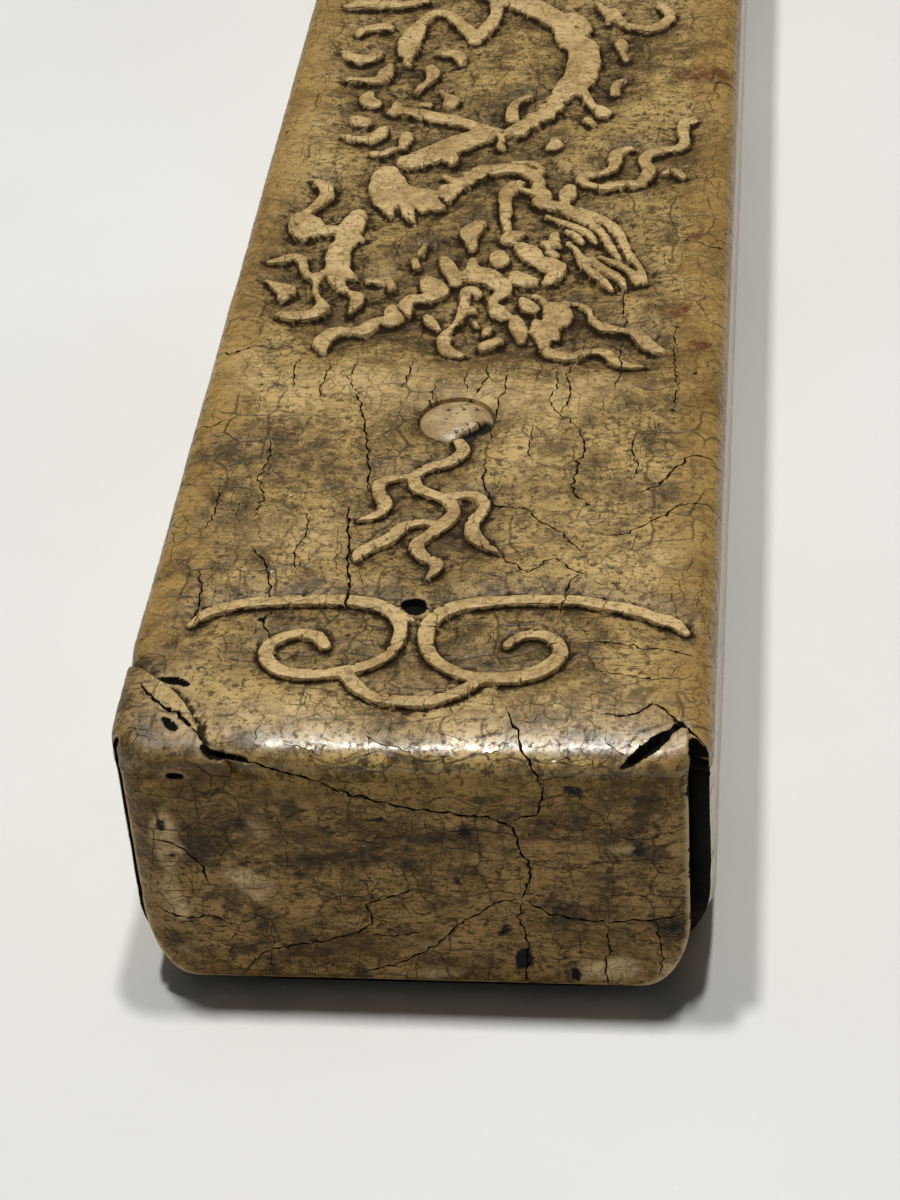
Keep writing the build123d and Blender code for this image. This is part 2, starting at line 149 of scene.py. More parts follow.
mane = [
    [(5.6, 50.9, 0.2), (6.2, 50.4, 0.4), (7, 49.8, 0.5), (7.6, 49.1, 0.55), (8.1, 48.2, 0.5),
     (8.4, 47.2, 0.45), (8.7, 46.2, 0.4), (9, 45.3, 0.4), (9.5, 44.3, 0.35), (9.8, 43.3, 0.3),
     (9.9, 42.6, 0.15)],
    [(3.6, 50.1, 0.15), (4.5, 49.5, 0.3), (5.4, 48.9, 0.4), (6.1, 48.3, 0.4), (6.5, 47.6, 0.4),
     (6.8, 46.9, 0.15)],
    [(4.9, 48.4, 0.15), (5.5, 47.9, 0.3), (5.9, 47.2, 0.15)],
    [(5.1, 47.1, 0.2), (5.6, 46.3, 0.35), (6, 45.2, 0.35), (6.3, 44.3, 0.4), (6.9, 43.4, 0.45),
     (7.5, 42.6, 0.45), (8, 41.7, 0.15)],
    [(6.7, 45.2, 0.15), (7.1, 44.3, 0.35), (7.8, 43.6, 0.5), (8.4, 42.9, 0.45), (8.8, 42, 0.15)],
    [(7.1, 45.4, 0.15), (8, 44.6, 0.35), (8.8, 43.9, 0.4), (9.3, 43.2, 0.4), (9.5, 42.3, 0.15)],
]
whiskers = [
    [(4.4, 35.6, 0.5), (4.8, 34.9, 0.7), (5.6, 34.4, 0.7), (6.2, 34.4, 0.6), (6.8, 34.9, 0.5),
     (7.6, 35, 0.5), (8.2, 34.6, 0.65), (8.7, 33.9, 0.7), (9.3, 33.5, 0.6), (10.3, 33.4, 0.2)],
    [(5.3, 40.3, 0.2), (6.1, 40.1, 0.3), (6.7, 39.6, 0.3), (6.9, 39, 0.3), (7.2, 38.2, 0.45),
     (7.9, 37.5, 0.6), (8.8, 37.2, 0.5), (9.4, 37, 0.5), (10, 36.4, 0.7), (10.4, 35.7, 0.75),
     (11.2, 35.1, 0.3)],
]
fore_legs = [
    [(-8.2, 50.7, 0.8), (-8.2, 50, 1.2), (-8.5, 49, 1.5), (-8.6, 48, 1.4), (-8.6, 47.2, 1.3),
     (-8.9, 46, 1.4), (-8.8, 45, 1.4), (-8.7, 44, 1.3), (-8.6, 43.2, 1), (-8.4, 42.4, 0.7),
     (-7.9, 41.6, 0.35)],
    [(-8.3, 44.2, 0.4), (-7.8, 43.3, 0.5), (-7.4, 42.9, 0.2)],
    [(-8.1, 48, 0.7), (-7.6, 47.5, 0.3)],
    [(-7.6, 41.4, 0.3), (-7.2, 41, 0.7), (-7.1, 40.3, 0.8), (-7.3, 39.3, 0.25)],
    [(-9.2, 44, 0.4), (-9.6, 43.4, 0.5), (-10.2, 43.2, 0.5), (-10.6, 43.7, 0.4), (-10.9, 44.6, 0.5),
     (-11.2, 45.4, 0.6), (-11.7, 45.6, 0.55), (-12.2, 45.1, 0.6), (-12.9, 44.7, 0.4)],
    [(-12.9, 42.6, 0.2), (-12.2, 42.1, 0.6), (-11.5, 41.6, 1.1), (-11.6, 40.9, 0.6)],
    [(-11.6, 39, 0.3), (-10.8, 38.8, 0.65), (-10, 38.8, 0.75), (-9.4, 39.1, 0.85),
     (-9.1, 39.8, 0.75), (-9.3, 40.5, 0.4), (-9.7, 41.3, 0.2), (-9.8, 42.3, 0.25),
     (-9.9, 43, 0.3)],
    [(-11.6, 54.7, 0.3), (-10.9, 54.1, 0.7), (-10.5, 53.4, 0.8), (-10.5, 52.6, 0.85),
     (-10.9, 51.7, 0.7), (-11.4, 50.9, 0.6), (-12, 50.2, 0.55), (-12.2, 49.2, 0.5),
     (-11.8, 48.2, 0.5), (-11.2, 47.6, 0.3)],
    [(-11.2, 50, 0.7), (-10.8, 49.2, 1.1), (-10.5, 48.6, 1.1), (-9.4, 48.6, 0.8),
     (-8.6, 48.6, 0.9)],
    [(-11.5, 49.8, 0.4), (-11.3, 48.6, 0.7), (-10.9, 47.9, 0.5)],
]
shoulder = [
    [(-6.9, 56.2, 0.4), (-7.3, 55.4, 0.9), (-7.1, 54.3, 1.5), (-6.9, 53.2, 1.7), (-6.7, 52.2, 1.3),
     (-6.4, 51.3, 0.8), (-6.2, 50.4, 0.25)],
    [(-5.8, 53, 0.8), (-5.3, 52.2, 1.1), (-5.2, 51.3, 0.8), (-5, 50.4, 0.6), (-4.7, 49.5, 0.25)],
    [(-4.9, 53.2, 0.6), (-4.5, 52.3, 1.2), (-4.2, 51.5, 0.9), (-4.2, 51, 0.5)],
    [(-4, 53, 0.35), (-3.6, 52, 0.6), (-3.3, 51.3, 0.8)],
    [(-2.8, 53.6, 0.3), (-2.6, 52.8, 0.4), (-2.8, 52.2, 0.3)],
    [(-3.2, 55, 0.3), (-2.5, 54.4, 0.6), (-2.3, 54, 0.5)],
    [(-6.9, 55.8, 1.2), (-6.6, 54.6, 1.6), (-5.9, 53.5, 1.4), (-5, 53, 1.2), (-4.3, 53, 1)],
    [(-3.5, 52.9, 0.7), (-3, 52.8, 0.8)],
    [(-3.1, 53.7, 0.6), (-2.4, 53.6, 0.9)],
    [(-2.4, 54.5, 0.6), (-1.8, 54.3, 0.9)],
    [(-1.8, 55.2, 0.6), (-1.1, 55.1, 0.9)],
    [(-5.6, 57, 1.6), (-5, 57.3, 1.8), (-4.2, 58, 1.9), (-3, 59, 1.9), (-1.8, 60, 1.8),
     (-0.9, 60.6, 1.5)],
    [(-3.6, 58, 1.1), (-3, 57.2, 0.9), (-2.9, 56.6, 0.3)],
    [(-7.6, 63.6, 0.5), (-7.1, 63.6, 1), (-6.2, 63.3, 0.7), (-5.4, 63.1, 1.1), (-4.4, 62.7, 1),
     (-3.4, 62.4, 1), (-2.4, 61.9, 0.8), (-1.4, 61.2, 1.1)],
    [(0, 60.2, 0.3), (0.05, 58.6, 0.4)],
]
spine = [
    [(0.6, 60.6, 0.9), (1, 60.9, 1.3)],
    [(1.3, 61.5, 1), (1.9, 61.8, 1)],
    [(2, 62.5, 1.1), (2.6, 62.8, 1.2)],
    [(2.5, 63.7, 1), (3.2, 63.9, 1.1)],
    [(3, 64.9, 0.9), (3.5, 65.1, 1)],
    [(0.5, 62.2, 0.8), (0.4, 63.2, 0.6), (0.5, 64.3, 0.6), (1, 65, 0.5), (1.4, 65.3, 0.3)],
]
body = [
    [(3.6, 65.9, 1.4), (4.1, 66.8, 2), (4.5, 68, 2.2), (4.7, 69.2, 2.2), (4.7, 70.5, 2.1),
     (4.5, 72, 2), (4.1, 73, 1.7)],
    [(3.5, 72.6, 1), (3.2, 74, 1.3), (3, 75, 1.4), (2.1, 76.6, 1.7), (1, 77.8, 1.9),
     (-0.3, 79, 2), (-1.9, 80.3, 2.1), (-3.6, 82, 2.2), (-4.7, 84, 2.2), (-5, 86, 2.2),
     (-4.5, 88, 2.2), (-3.2, 90, 2.1), (-1.2, 91.6, 2), (0.8, 92.8, 2), (2.5, 94.3, 1.9),
     (3.6, 96.2, 1.7), (3.4, 98.4, 1.5), (2.1, 100.2, 1.3), (0.2, 101.4, 1.1),
     (-1.8, 102.1, 0.9), (-3.4, 103, 0.7), (-4.6, 104.2, 0.3)],
    [(3.4, 76.8, 0.5), (4, 76, 0.9), (4.5, 75, 0.9), (4.4, 74.2, 0.7)],
    [(4.6, 66.8, 0.5), (5, 65.6, 0.6), (5.5, 64.3, 0.5), (6.1, 63.6, 0.7), (6.4, 63.1, 0.9)],
    [(-2.9, 73.4, 0.7), (-3.2, 74.2, 0.9), (-3.8, 75.2, 0.8), (-4.5, 76.4, 0.7), (-5.2, 77.3, 0.7),
     (-5.9, 77.5, 0.7), (-6.4, 76.9, 0.7), (-6.8, 75.8, 0.8), (-7.2, 74.4, 1.3), (-7.4, 73.2, 1.4),
     (-7.4, 72.1, 1.3), (-7.3, 71.4, 1)],
    [(-2.9, 73.4, 0.8), (-2.4, 74.6, 0.9), (-2, 76, 0.8), (-1.8, 77.4, 0.7), (-2, 79.4, 0.6)],
    [(3.4, 96, 1), (4.6, 95.9, 1.3), (6.2, 95.4, 1.4), (7.6, 94.3, 1.2), (8.5, 92.8, 1),
     (8.8, 91.2, 0.8)],
    [(8.8, 91.2, 0.8), (9.9, 90.4, 0.8), (10.7, 89.2, 0.6), (10.7, 88.1, 0.2)],
    [(8.7, 91.2, 0.7), (8.9, 89.9, 0.7), (8.5, 88.5, 0.6), (7.7, 87.5, 0.2)],
    [(8.6, 91.3, 0.7), (7.6, 90.6, 0.7), (6.9, 89.4, 0.5), (6.8, 88.4, 0.2)],
    [(-4.8, 86, 1), (-6.2, 86.8, 1.3), (-7.8, 88, 1.3), (-8.8, 89.6, 1.1), (-9, 91.4, 0.9),
     (-8.9, 92.6, 0.8)],
    [(-8.9, 92.5, 0.8), (-10.1, 93.1, 0.7), (-10.9, 94.2, 0.6), (-11, 95.4, 0.2)],
    [(-8.9, 92.5, 0.7), (-8.9, 93.9, 0.7), (-8.4, 95.2, 0.5), (-8.7, 96.3, 0.2)],
    [(-8.8, 92.5, 0.7), (-7.7, 93.1, 0.7), (-6.9, 94.3, 0.5), (-6.9, 95.2, 0.2)],
    [(-4.2, 103.7, 0.5), (-5.6, 103.9, 0.8), (-6.9, 103.3, 0.6), (-7.7, 102.1, 0.2)],
    [(-4.4, 104, 0.4), (-5.3, 105.2, 0.7), (-6.6, 106.2, 0.6), (-8.1, 106.4, 0.2)],
    [(-4.2, 104, 0.4), (-4, 105.6, 0.7), (-4.6, 107, 0.5), (-5.6, 107.9, 0.2)],
]
clouds = [
    [(8.3, 58.5, 0.5), (7.8, 58.2, 0.6), (7.4, 57.5, 0.75), (7.5, 56.6, 0.65), (7.2, 55.7, 0.5),
     (6.4, 55.2, 0.45), (5.7, 55.1, 0.8), (5.4, 54.6, 0.6), (5.9, 54, 0.4), (6.6, 53.6, 0.5),
     (7.3, 53.7, 0.7), (8.1, 54, 0.5), (9, 54.1, 0.6), (9.5, 54.9, 0.7), (9.7, 55.8, 0.7),
     (9.4, 56.6, 0.6), (9.3, 57.3, 0.7), (9.7, 57.9, 0.6), (10.5, 58.2, 0.55), (11.2, 58.4, 0.5),
     (11.7, 59, 0.7), (11.7, 60, 0.65), (11.6, 61, 0.6), (11.7, 61.7, 0.7), (12.3, 61.8, 0.5)],
    [(10.6, 55.3, 0.3), (11.2, 55.5, 0.4), (11.8, 54.8, 0.3)],
    [(-10.4, 60.4, 0.25), (-9.8, 60, 0.5), (-9, 59.9, 0.6), (-8.4, 60, 1), (-8, 60.6, 0.8),
     (-7.8, 61.3, 0.4)],
    [(-8.1, 58, 0.35), (-7.5, 57.9, 0.45), (-7, 58.5, 0.3)],
    [(-6.2, 60.4, 0.6), (-6.2, 59.8, 0.75), (-6.3, 58.8, 0.3)],
    [(-9.6, 62.4, 1), (-9.3, 62.1, 1.1)],
    [(-9.3, 66, 0.4), (-9.3, 65.1, 1), (-8.8, 64.6, 0.8)],
    [(-5.7, 64.5, 0.4), (-5.2, 64.4, 0.5)],
    [(-4.4, 66.2, 0.4), (-4, 65.6, 0.4), (-3.7, 64.9, 1), (-3.8, 64.5, 0.9)],
    [(-7.3, 64.6, 0.5), (-7.3, 63.9, 0.8)],
    [(-10.9, 67.9, 0.4), (-10, 67.8, 0.5), (-9, 67.8, 0.7), (-8.6, 68.3, 1), (-8.5, 69, 0.9),
     (-8.3, 69.9, 0.4)],
    [(-6.2, 66, 0.3), (-5.9, 66.8, 0.4), (-5.4, 67.8, 0.5), (-5.3, 68.6, 0.75),
     (-5.6, 69.4, 0.6)],
    [(-7.3, 70.9, 0.4), (-7.2, 70.2, 0.5), (-7, 69.8, 0.2)],
    [(-4.8, 71.4, 0.5), (-4.2, 71.4, 0.8), (-3.7, 70.9, 0.8), (-3.5, 70, 0.3)],
    [(-11.7, 71.9, 0.3), (-11.2, 71.2, 0.7), (-10.4, 70.8, 1), (-9.7, 71, 0.9), (-9.3, 71.8, 0.4)],
    [(-11, 74.4, 0.4), (-10.7, 75, 0.5), (-9.8, 75.5, 0.8), (-9, 75.3, 0.6)],
    [(-12.3, 78.4, 0.5), (-11, 78.8, 0.9), (-9.6, 78.7, 1), (-8.2, 78.8, 0.8), (-7, 79.3, 0.6)],
    [(7, 72.9, 0.5), (7.1, 72.4, 0.8), (7.2, 71.6, 0.4), (7.3, 70.9, 0.4), (7.5, 70.3, 0.4)],
    [(7.4, 67.3, 0.6), (7, 66.8, 0.5), (7, 65.8, 0.6)],
    [(5.4, 62.2, 0.5), (5.7, 61.6, 0.5)],
    [(6.3, 77.4, 0.3), (6.8, 76.2, 0.5), (7.3, 75.3, 0.5), (8.2, 74.8, 0.7), (9.2, 74.8, 0.8),
     (9.9, 75.6, 0.7), (10.2, 76.8, 0.6), (9.6, 78, 0.5)],
    [(5.2, 78.4, 0.3), (5.9, 77, 0.4), (6, 75.8, 0.3)],
    [(6.4, 83.6, 0.3), (6.8, 82.3, 0.6), (7.9, 81.6, 0.8), (9.2, 81.8, 0.8), (10, 82.9, 0.7),
     (9.6, 84.2, 0.4)],
    [(-11.6, 84.8, 0.3), (-10.8, 83.6, 0.7), (-9.6, 83.3, 0.8), (-8.6, 84, 0.5)],
    [(6.6, 103.4, 0.3), (6.8, 102.1, 0.6), (7.8, 101.2, 0.8), (9.1, 101.2, 0.8), (10, 102.2, 0.7),
     (9.7, 103.6, 0.4)],
    [(-10.8, 100.4, 0.3), (-10, 99.3, 0.6), (-8.8, 98.9, 0.7), (-7.7, 99.6, 0.4)],
    [(0, 106.8, 0.3), (1, 105.8, 0.6), (2.3, 105.6, 0.7), (3.4, 106.3, 0.6), (4.6, 106.3, 0.6),
     (5.6, 105.4, 0.3)],
    [(-0.8, 96.9, 0.3), (-1.8, 96.2, 0.6), (-3, 96.5, 0.6), (-3.8, 97.6, 0.3)],
    [(0.4, 86, 0.3), (1.4, 85.3, 0.6), (2.7, 85.6, 0.7), (3.4, 86.8, 0.4)],
]
far_scroll = [[(-x, bar_length - along, breadth) for x, along, breadth in run]
              for run in near_scroll]

# Chips and pits go down to the black ink. They use the same kind of run, then a depth.
chips = [
    ([(10.6, 0.3, 0.03), (11.1, 0.65, 0.2), (11.7, 1.05, 0.36), (12.4, 1.5, 0.4), (13, 2, 0.24),
      (13.3, 2.3, 0.1)], 0.55),
    ([(-12.8, 5.3, 0.05), (-12.3, 5.15, 0.25), (-11.8, 4.95, 0.25), (-11.4, 4.7, 0.05)], 0.2),
    ([(13.95, 1.35, 0.4), (14.2, 1.1, 0.8), (14.55, 0.75, 1.25), (14.95, 0.36, 1.7),
      (15.45, -0.07, 2.2), (15.9, -0.5, 2.7)], 1.5),
    ([(-14.5, 1.2, 0.15), (-14.8, 1.01, 0.3), (-15.3, 0.69, 0.45), (-15.79, 0.39, 0.55),
      (-16.1, 0.2, 0.6)], 1.1),
    ([(-12.2, 2.2, 0.05), (-11.8, 1.9, 0.2), (-11.5, 1.75, 0.1)], 0.14),
    ([(-10, 0.9, 0.1), (-9.5, 0.7, 0.3), (-9, 0.6, 0.22)], 0.3),
    ([(-8.8, 0.55, 0.08), (-8.3, 0.45, 0.18), (-7.9, 0.3, 0.08)], 0.25),
    ([(-1, 11.5, 0.5), (-0.6, 11.35, 0.95), (-0.35, 11.1, 0.7)], 0.4),
    ([(-11.6, -1, 0.35), (-11.3, -1.05, 0.4)], 0.2),
    ([(-8.4, 10, 0.12), (-8.3, 10, 0.12)], 0.1),
]

# Deep cracks, read the same way, with the crack's width in mm.
top_cracks = [
    ([(-6, 31), (-5.4, 29), (-5, 27), (-4.7, 25.5), (-4.3, 23), (-4.2, 21.5)], 0.11),
    ([(-5, 19.8), (-4.8, 18), (-4.6, 16), (-4.4, 14), (-4.2, 12.5), (-4.1, 11), (-4.2, 10.6)], 0.13),
    ([(7, 27), (7.4, 25), (7.1, 24), (7, 22), (7.1, 21), (7.8, 20.1)], 0.12),
    ([(2, 24), (2.1, 22), (2.8, 20.2), (4.6, 19.5), (5.2, 18.5), (6.4, 17.6), (7.8, 15.7)], 0.1),
    ([(3.4, 15.8), (4.3, 14.6), (5.2, 14.1), (6.3, 15.3), (7.2, 14.4), (8.3, 13.7)], 0.1),
    ([(7.8, 14), (7.2, 13), (7.1, 11.5), (7, 10.8)], 0.1),
    ([(15.2, 24), (13.5, 24.5), (12.7, 23.7), (11.5, 21.8), (10.4, 21)], 0.11),
    ([(15.4, 20), (13, 20), (12, 19), (10, 17.5), (8.6, 17.3)], 0.11),
    ([(9.5, 2.8), (11, 2.8), (12, 3.5), (13, 2.7), (13.3, 2.3)], 0.12),
    ([(12.9, 2.6), (14, 1.8), (14.6, 1.2)], 0.12),
    ([(4.9, 2.9), (5.3, 2), (5.6, 1.2), (6.2, 0.4), (6.5, -0.5), (6.6, -1.3)], 0.12),
    ([(-13.6, 4.6), (-12.8, 3.4), (-11.2, 2.2), (-9.8, 1), (-8.8, 0.5), (-8, 0.25), (-7.2, 0),
      (-6.5, -0.3), (-5.4, -0.8), (-4.3, -1.3)], 0.16),
    ([(-11.8, 9.5), (-11.8, 11), (-11.9, 12.5), (-12.4, 14)], 0.1),
    ([(-8.2, 11.8), (-8.6, 14), (-9.4, 15.4), (-9.8, 16)], 0.11),
    ([(-8.1, 11), (-8.2, 9.6), (-7.7, 8.4)], 0.1),
    ([(-1.4, 31.6), (-1.6, 30), (-1.2, 29.2)], 0.09),
    ([(-3, 34), (-3.1, 32.4), (-3.3, 31)], 0.09),
    ([(2.5, 33), (2.5, 31), (2.2, 29.4), (2.1, 26)], 0.09),
    ([(5.4, 33), (5.5, 31.2), (5.2, 29.5), (7, 27)], 0.08),
    ([(8.7, 42), (8.8, 40), (9, 38.4), (8.6, 37)], 0.09),
    ([(12, 37.4), (12, 34), (12.3, 31), (12.1, 29)], 0.09),
    ([(-14.8, 35), (-13.6, 34.6), (-12.4, 35.4), (-11, 35)], 0.1),
    ([(-15, 27.6), (-13.8, 27.2), (-12.7, 27.9)], 0.09),
    ([(15, 46.5), (13.6, 46.2), (12.6, 47), (11.8, 46.8)], 0.09),
    ([(13.2, 66.6), (14.2, 67), (15.2, 66.4)], 0.12),
    ([(-9.7, 34.2), (-9.8, 32.6), (-9.6, 31)], 0.09),
    ([(-7.9, 34), (-7.8, 32.5), (-8, 31.4), (-7.9, 30)], 0.09),
    ([(-6.3, 33.6), (-6.4, 32), (-6.2, 30.8)], 0.08),
    ([(0.3, 33.2), (0.2, 31.8), (0.4, 30.8)], 0.08),
    ([(1.3, 33.4), (1.3, 31.6), (0.9, 30.6)], 0.1),
    ([(6.2, 33.8), (6, 32), (6.3, 30.4), (5.8, 28.6)], 0.1),
    ([(8.9, 36.4), (8.8, 34.6), (9, 33), (8.8, 31)], 0.09),
    ([(-10.2, 26), (-10, 24), (-10.3, 22.2), (-9.8, 20.4), (-10.1, 18.6)], 0.09),
    ([(-12.4, 21.6), (-12.2, 19.4), (-12.5, 17.6)], 0.08),
    ([(-7.2, 19), (-7, 17.2), (-7.4, 15.6), (-7.1, 14)], 0.08),
    ([(10.2, 26.8), (10, 25.2), (10.4, 23.6), (10.2, 22.4)], 0.09),
    ([(4.4, 27.4), (4.3, 25.4), (4.6, 23.8)], 0.08),
    ([(8.2, 8.3), (10, 8.2), (11.6, 7.8), (13, 7.7), (13.8, 7.2)], 0.09),
    ([(9, 6.1), (11, 5.6), (13.4, 5.4)], 0.08),
]


def unit(value):
    """A value held between 0 and 1."""
    return np.clip(value, 0, 1)


def flowing(run, step):
    """Close points on the smooth curve through the points of a run."""
    run = np.array(run, dtype=float)
    padded = np.vstack([2 * run[0] - run[1], run, 2 * run[-1] - run[-2]])
    pieces = []
    for a, b, c, d in zip(padded[:-3], padded[1:-2], padded[2:-1], padded[3:]):
        count = max(int(np.hypot(*(c - b)[:2]) / step), 1)
        t = np.linspace(0, 1, count, endpoint=False)[:, None]
        pieces.append(0.5 * (2 * b + (c - a) * t + (2 * a - 5 * b + 4 * c - d) * t ** 2
                             + (3 * b - a - 3 * c + d) * t ** 3))
    return np.vstack(pieces + [run[-1:]])


# The skin is worked out on a fine net laid over the unrolled top, from edge to edge.
net = 0.1
net_x = np.arange(-flat_x - roll_run - net, flat_x + roll_run + 2 * net, net)
net_y = np.arange(-flat_y - roll_run - net, flat_y + roll_run + 2 * net, net)
dice = np.random.default_rng(11)


def soften(field, reach):
    """A field on the net, blurred so that features under `reach` mm are smoothed away."""
    wave_x = np.fft.fftfreq(field.shape[0], net)[:, None]
    wave_y = np.fft.rfftfreq(field.shape[1], net)[None, :]
    keep = np.exp(-2 * (np.pi * reach) ** 2 * (wave_x ** 2 + wave_y ** 2))
    return np.fft.irfft2(np.fft.rfft2(field) * keep, s=field.shape)


def ripples(reach):
    """Random unevenness of about `reach` mm, from about -1 to 1."""
    field = soften(dice.standard_normal((len(net_x), len(net_y))), reach)
    return field / (2 * field.std())


def clearance(runs, widest):
    """How far each point of the net is outside the nearest of some runs. It is below zero inside."""
    field = np.full((len(net_x), len(net_y)), widest)
    for run in runs:
        points = flowing(run, 0.15)
        points[:, 1] -= half_length
        for start, end in zip(points[:-1], points[1:]):
            reach = widest + max(start[2], end[2]) / 2
            left, right = np.searchsorted(net_x, [min(start[0], end[0]) - reach,
                                                  max(start[0], end[0]) + reach])
            near, far = np.searchsorted(net_y, [min(start[1], end[1]) - reach,
                                                max(start[1], end[1]) + reach])
            if left >= right or near >= far:
                continue
            across = net_x[left:right, None] - start[0]
            along = net_y[None, near:far] - start[1]
            run_x, run_y = end[0] - start[0], end[1] - start[1]
            t = unit((across * run_x + along * run_y) / (run_x ** 2 + run_y ** 2 + 1e-9))
            gap = np.hypot(across - t * run_x, along - t * run_y)
            gap -= (start[2] + t * (end[2] - start[2])) / 2
            window = field[left:right, near:far]
            np.minimum(window, gap, out=window)
    return field


picture = (near_scroll + corner_fold + flames + dragon_face + horns + mane + whiskers + fore_legs
           + shoulder + spine + body + clouds + far_scroll)
edge = clearance(picture, 2.6) + 0.05 + 0.03 * ripples(0.3) + 0.02 * ripples(0.1)
pearl_x, pearl_y, pearl_radius = 0.0, 28.2 - half_length, 2.05
socket_depth = 0.8
round_pearl = np.hypot(net_x[:, None] - pearl_x, net_y[None, :] - pearl_y) - pearl_radius
crowd = soften((np.minimum(edge, round_pearl + 0.2) < 0.75).astype(float), 0.9)
dragon_start, dragon_end, dragon_reach = 32.6, 109.4, 12.9
in_dragon = (unit((net_y + half_length - dragon_start) / 2.2)
             * unit((dragon_end - half_length - net_y) / 2.2))[None, :]
in_dragon = in_dragon * unit((dragon_reach - np.abs(net_x)) / 1.1)[:, None]
edge += in_dragon * (0.05 * ripples(0.3) + 0.03 * ripples(0.16) - 0.08)
crowding = unit(crowd * 1.5) ** 1.3
low_ground = 0.24 * crowding + in_dragon * (0.14 + 0.1 * crowding)
low_ground += 0.07 * np.exp(-np.clip(edge - 0.1, 0, None) ** 2 / 0.06)
worn_tops = in_dragon * np.clip(0.05 + 0.07 * ripples(0.7) + 0.035 * ripples(0.22), 0, 0.2)
unevenness = 0.03 + 0.018 * ripples(2.5) + 0.014 * ripples(0.6) + 0.008 * ripples(0.2)
pitted = 0.1 * unit(ripples(0.12) - 1.05)
cut = np.full_like(edge, 1.5)
cut_depth = np.zeros_like(edge)
for run, depth in chips:
    this_cut = clearance([run], 1.5) + 0.06 * ripples(0.2) + 0.04 * ripples(0.1)
    cut_depth = np.where(this_cut < cut, depth, cut_depth)
    cut = np.minimum(cut, this_cut)
# Painted shade with some settled dirt: darker on the walls beside the strokes and over the crowded low
# ground, where the relief's shade falls.
soot_and_shade = ((0.8 - 0.2 * in_dragon) * np.exp(-np.clip(edge, 0, None) ** 2 / 0.06)
        + 0.3 * unit(crowd * 1.3) + 0.08 * in_dragon)
# Painted shade in the gap round the pearl, strongest on its near side.
socket = (np.exp(-np.clip(round_pearl, 0, None) ** 2 / 0.05)
          * np.clip(0.6 - (net_y - pearl_y) / 2.5, 0.2, 1)[None, :])


def on_net(field, places):
    """The value of a field of the net at some places."""
    x = np.clip((places[:, 0] - net_x[0]) / net, 0, len(net_x) - 1.001)
    y = np.clip((places[:, 1] - net_y[0]) / net, 0, len(net_y) - 1.001)
    i, j = x.astype(int), y.astype(int)
    s, t = x - i, y - j
    return ((1 - s) * (1 - t) * field[i, j] + s * (1 - t) * field[i + 1, j]
            + (1 - s) * t * field[i, j + 1] + s * t * field[i + 1, j + 1])


def cell_of(x, y):
    """The small square that a crack has taken up at a place."""
    return round(x / 0.25), round(y / 0.25)


def craze(count, inside, busy, start_range, seed):
    """Fine cracks that run along and across the grain and stop where they meet another."""
    chance = np.random.default_rng(seed)
    taken = set()
    cracks = []
    for path, width in busy:
        taken |= {cell_of(x, y) for x, y, _ in flowing([(x, y, 0) for x, y in path], 0.1)}
    for _ in range(count):
        x = chance.uniform(*start_range[0])
        y = chance.uniform(*start_range[1])
        heading = chance.integers(4) * np.pi / 2
        lean = chance.normal(0, 0.2)
        reach = chance.exponential(1.5) + 0.6
        path = [(x, y)]
        fresh = {cell_of(x, y)}
        if fresh & taken or not inside(x, y):
            continue
        while reach > 0:
            if chance.random() < 0.1:
                heading += chance.choice([-1, 1]) * np.pi / 2
            turn = heading + lean + chance.normal(0, 0.42)
            step = chance.uniform(0.16, 0.34)
            x += step * np.cos(turn)
            y += step * np.sin(turn)
            reach -= step
            if not inside(x, y):
                break
            path.append((x, y))
            if cell_of(x, y) in taken:
                break
            fresh.add(cell_of(x, y))
        if len(path) > 2:
            taken |= fresh
            cracks.append((path, chance.uniform(0.025, 0.06)))
    return cracks


def jagged(cracks, seed):
    """The main cracks with the small breaks that a split in lacquer has."""
    chance = np.random.default_rng(seed)
    broken = []
    for path, width in cracks:
        line = flowing([(x, y, 0) for x, y in path], 0.24)[:, :2]
        line[1:-1] += chance.normal(0, 0.07, line[1:-1].shape)
        broken.append((line.tolist(), width * 1.3))
    return broken


def crack_lines(cracks):
    """Both lips and the bed of each crack as points, the links between them, and the bed alone."""
    points, links, beds = [], [], []
    for path, width in cracks:
        line = flowing([(x, y, 0) for x, y in path], 0.22)[:, :2]
        run = np.gradient(line, axis=0)
        run /= np.linalg.norm(run, axis=1)[:, None] + 1e-9
        across = np.stack([-run[:, 1], run[:, 0]], axis=1)
        taper = np.minimum(1, np.minimum(np.arange(len(line)), np.arange(len(line))[::-1]) / 3 + 0.25)
        half = (width / 2 * taper * (0.8 + 0.35 * np.sin(np.arange(len(line)) * 1.9)))[:, None]
        for row in (line, line + across * half, line - across * half):
            first = len(points)
            points.extend(map(tuple, row))
            links.extend((first + k, first + k + 1) for k in range(len(row) - 1))
        beds.extend((x, y, h[0]) for (x, y), h in zip(line, half))
    return points, links, beds


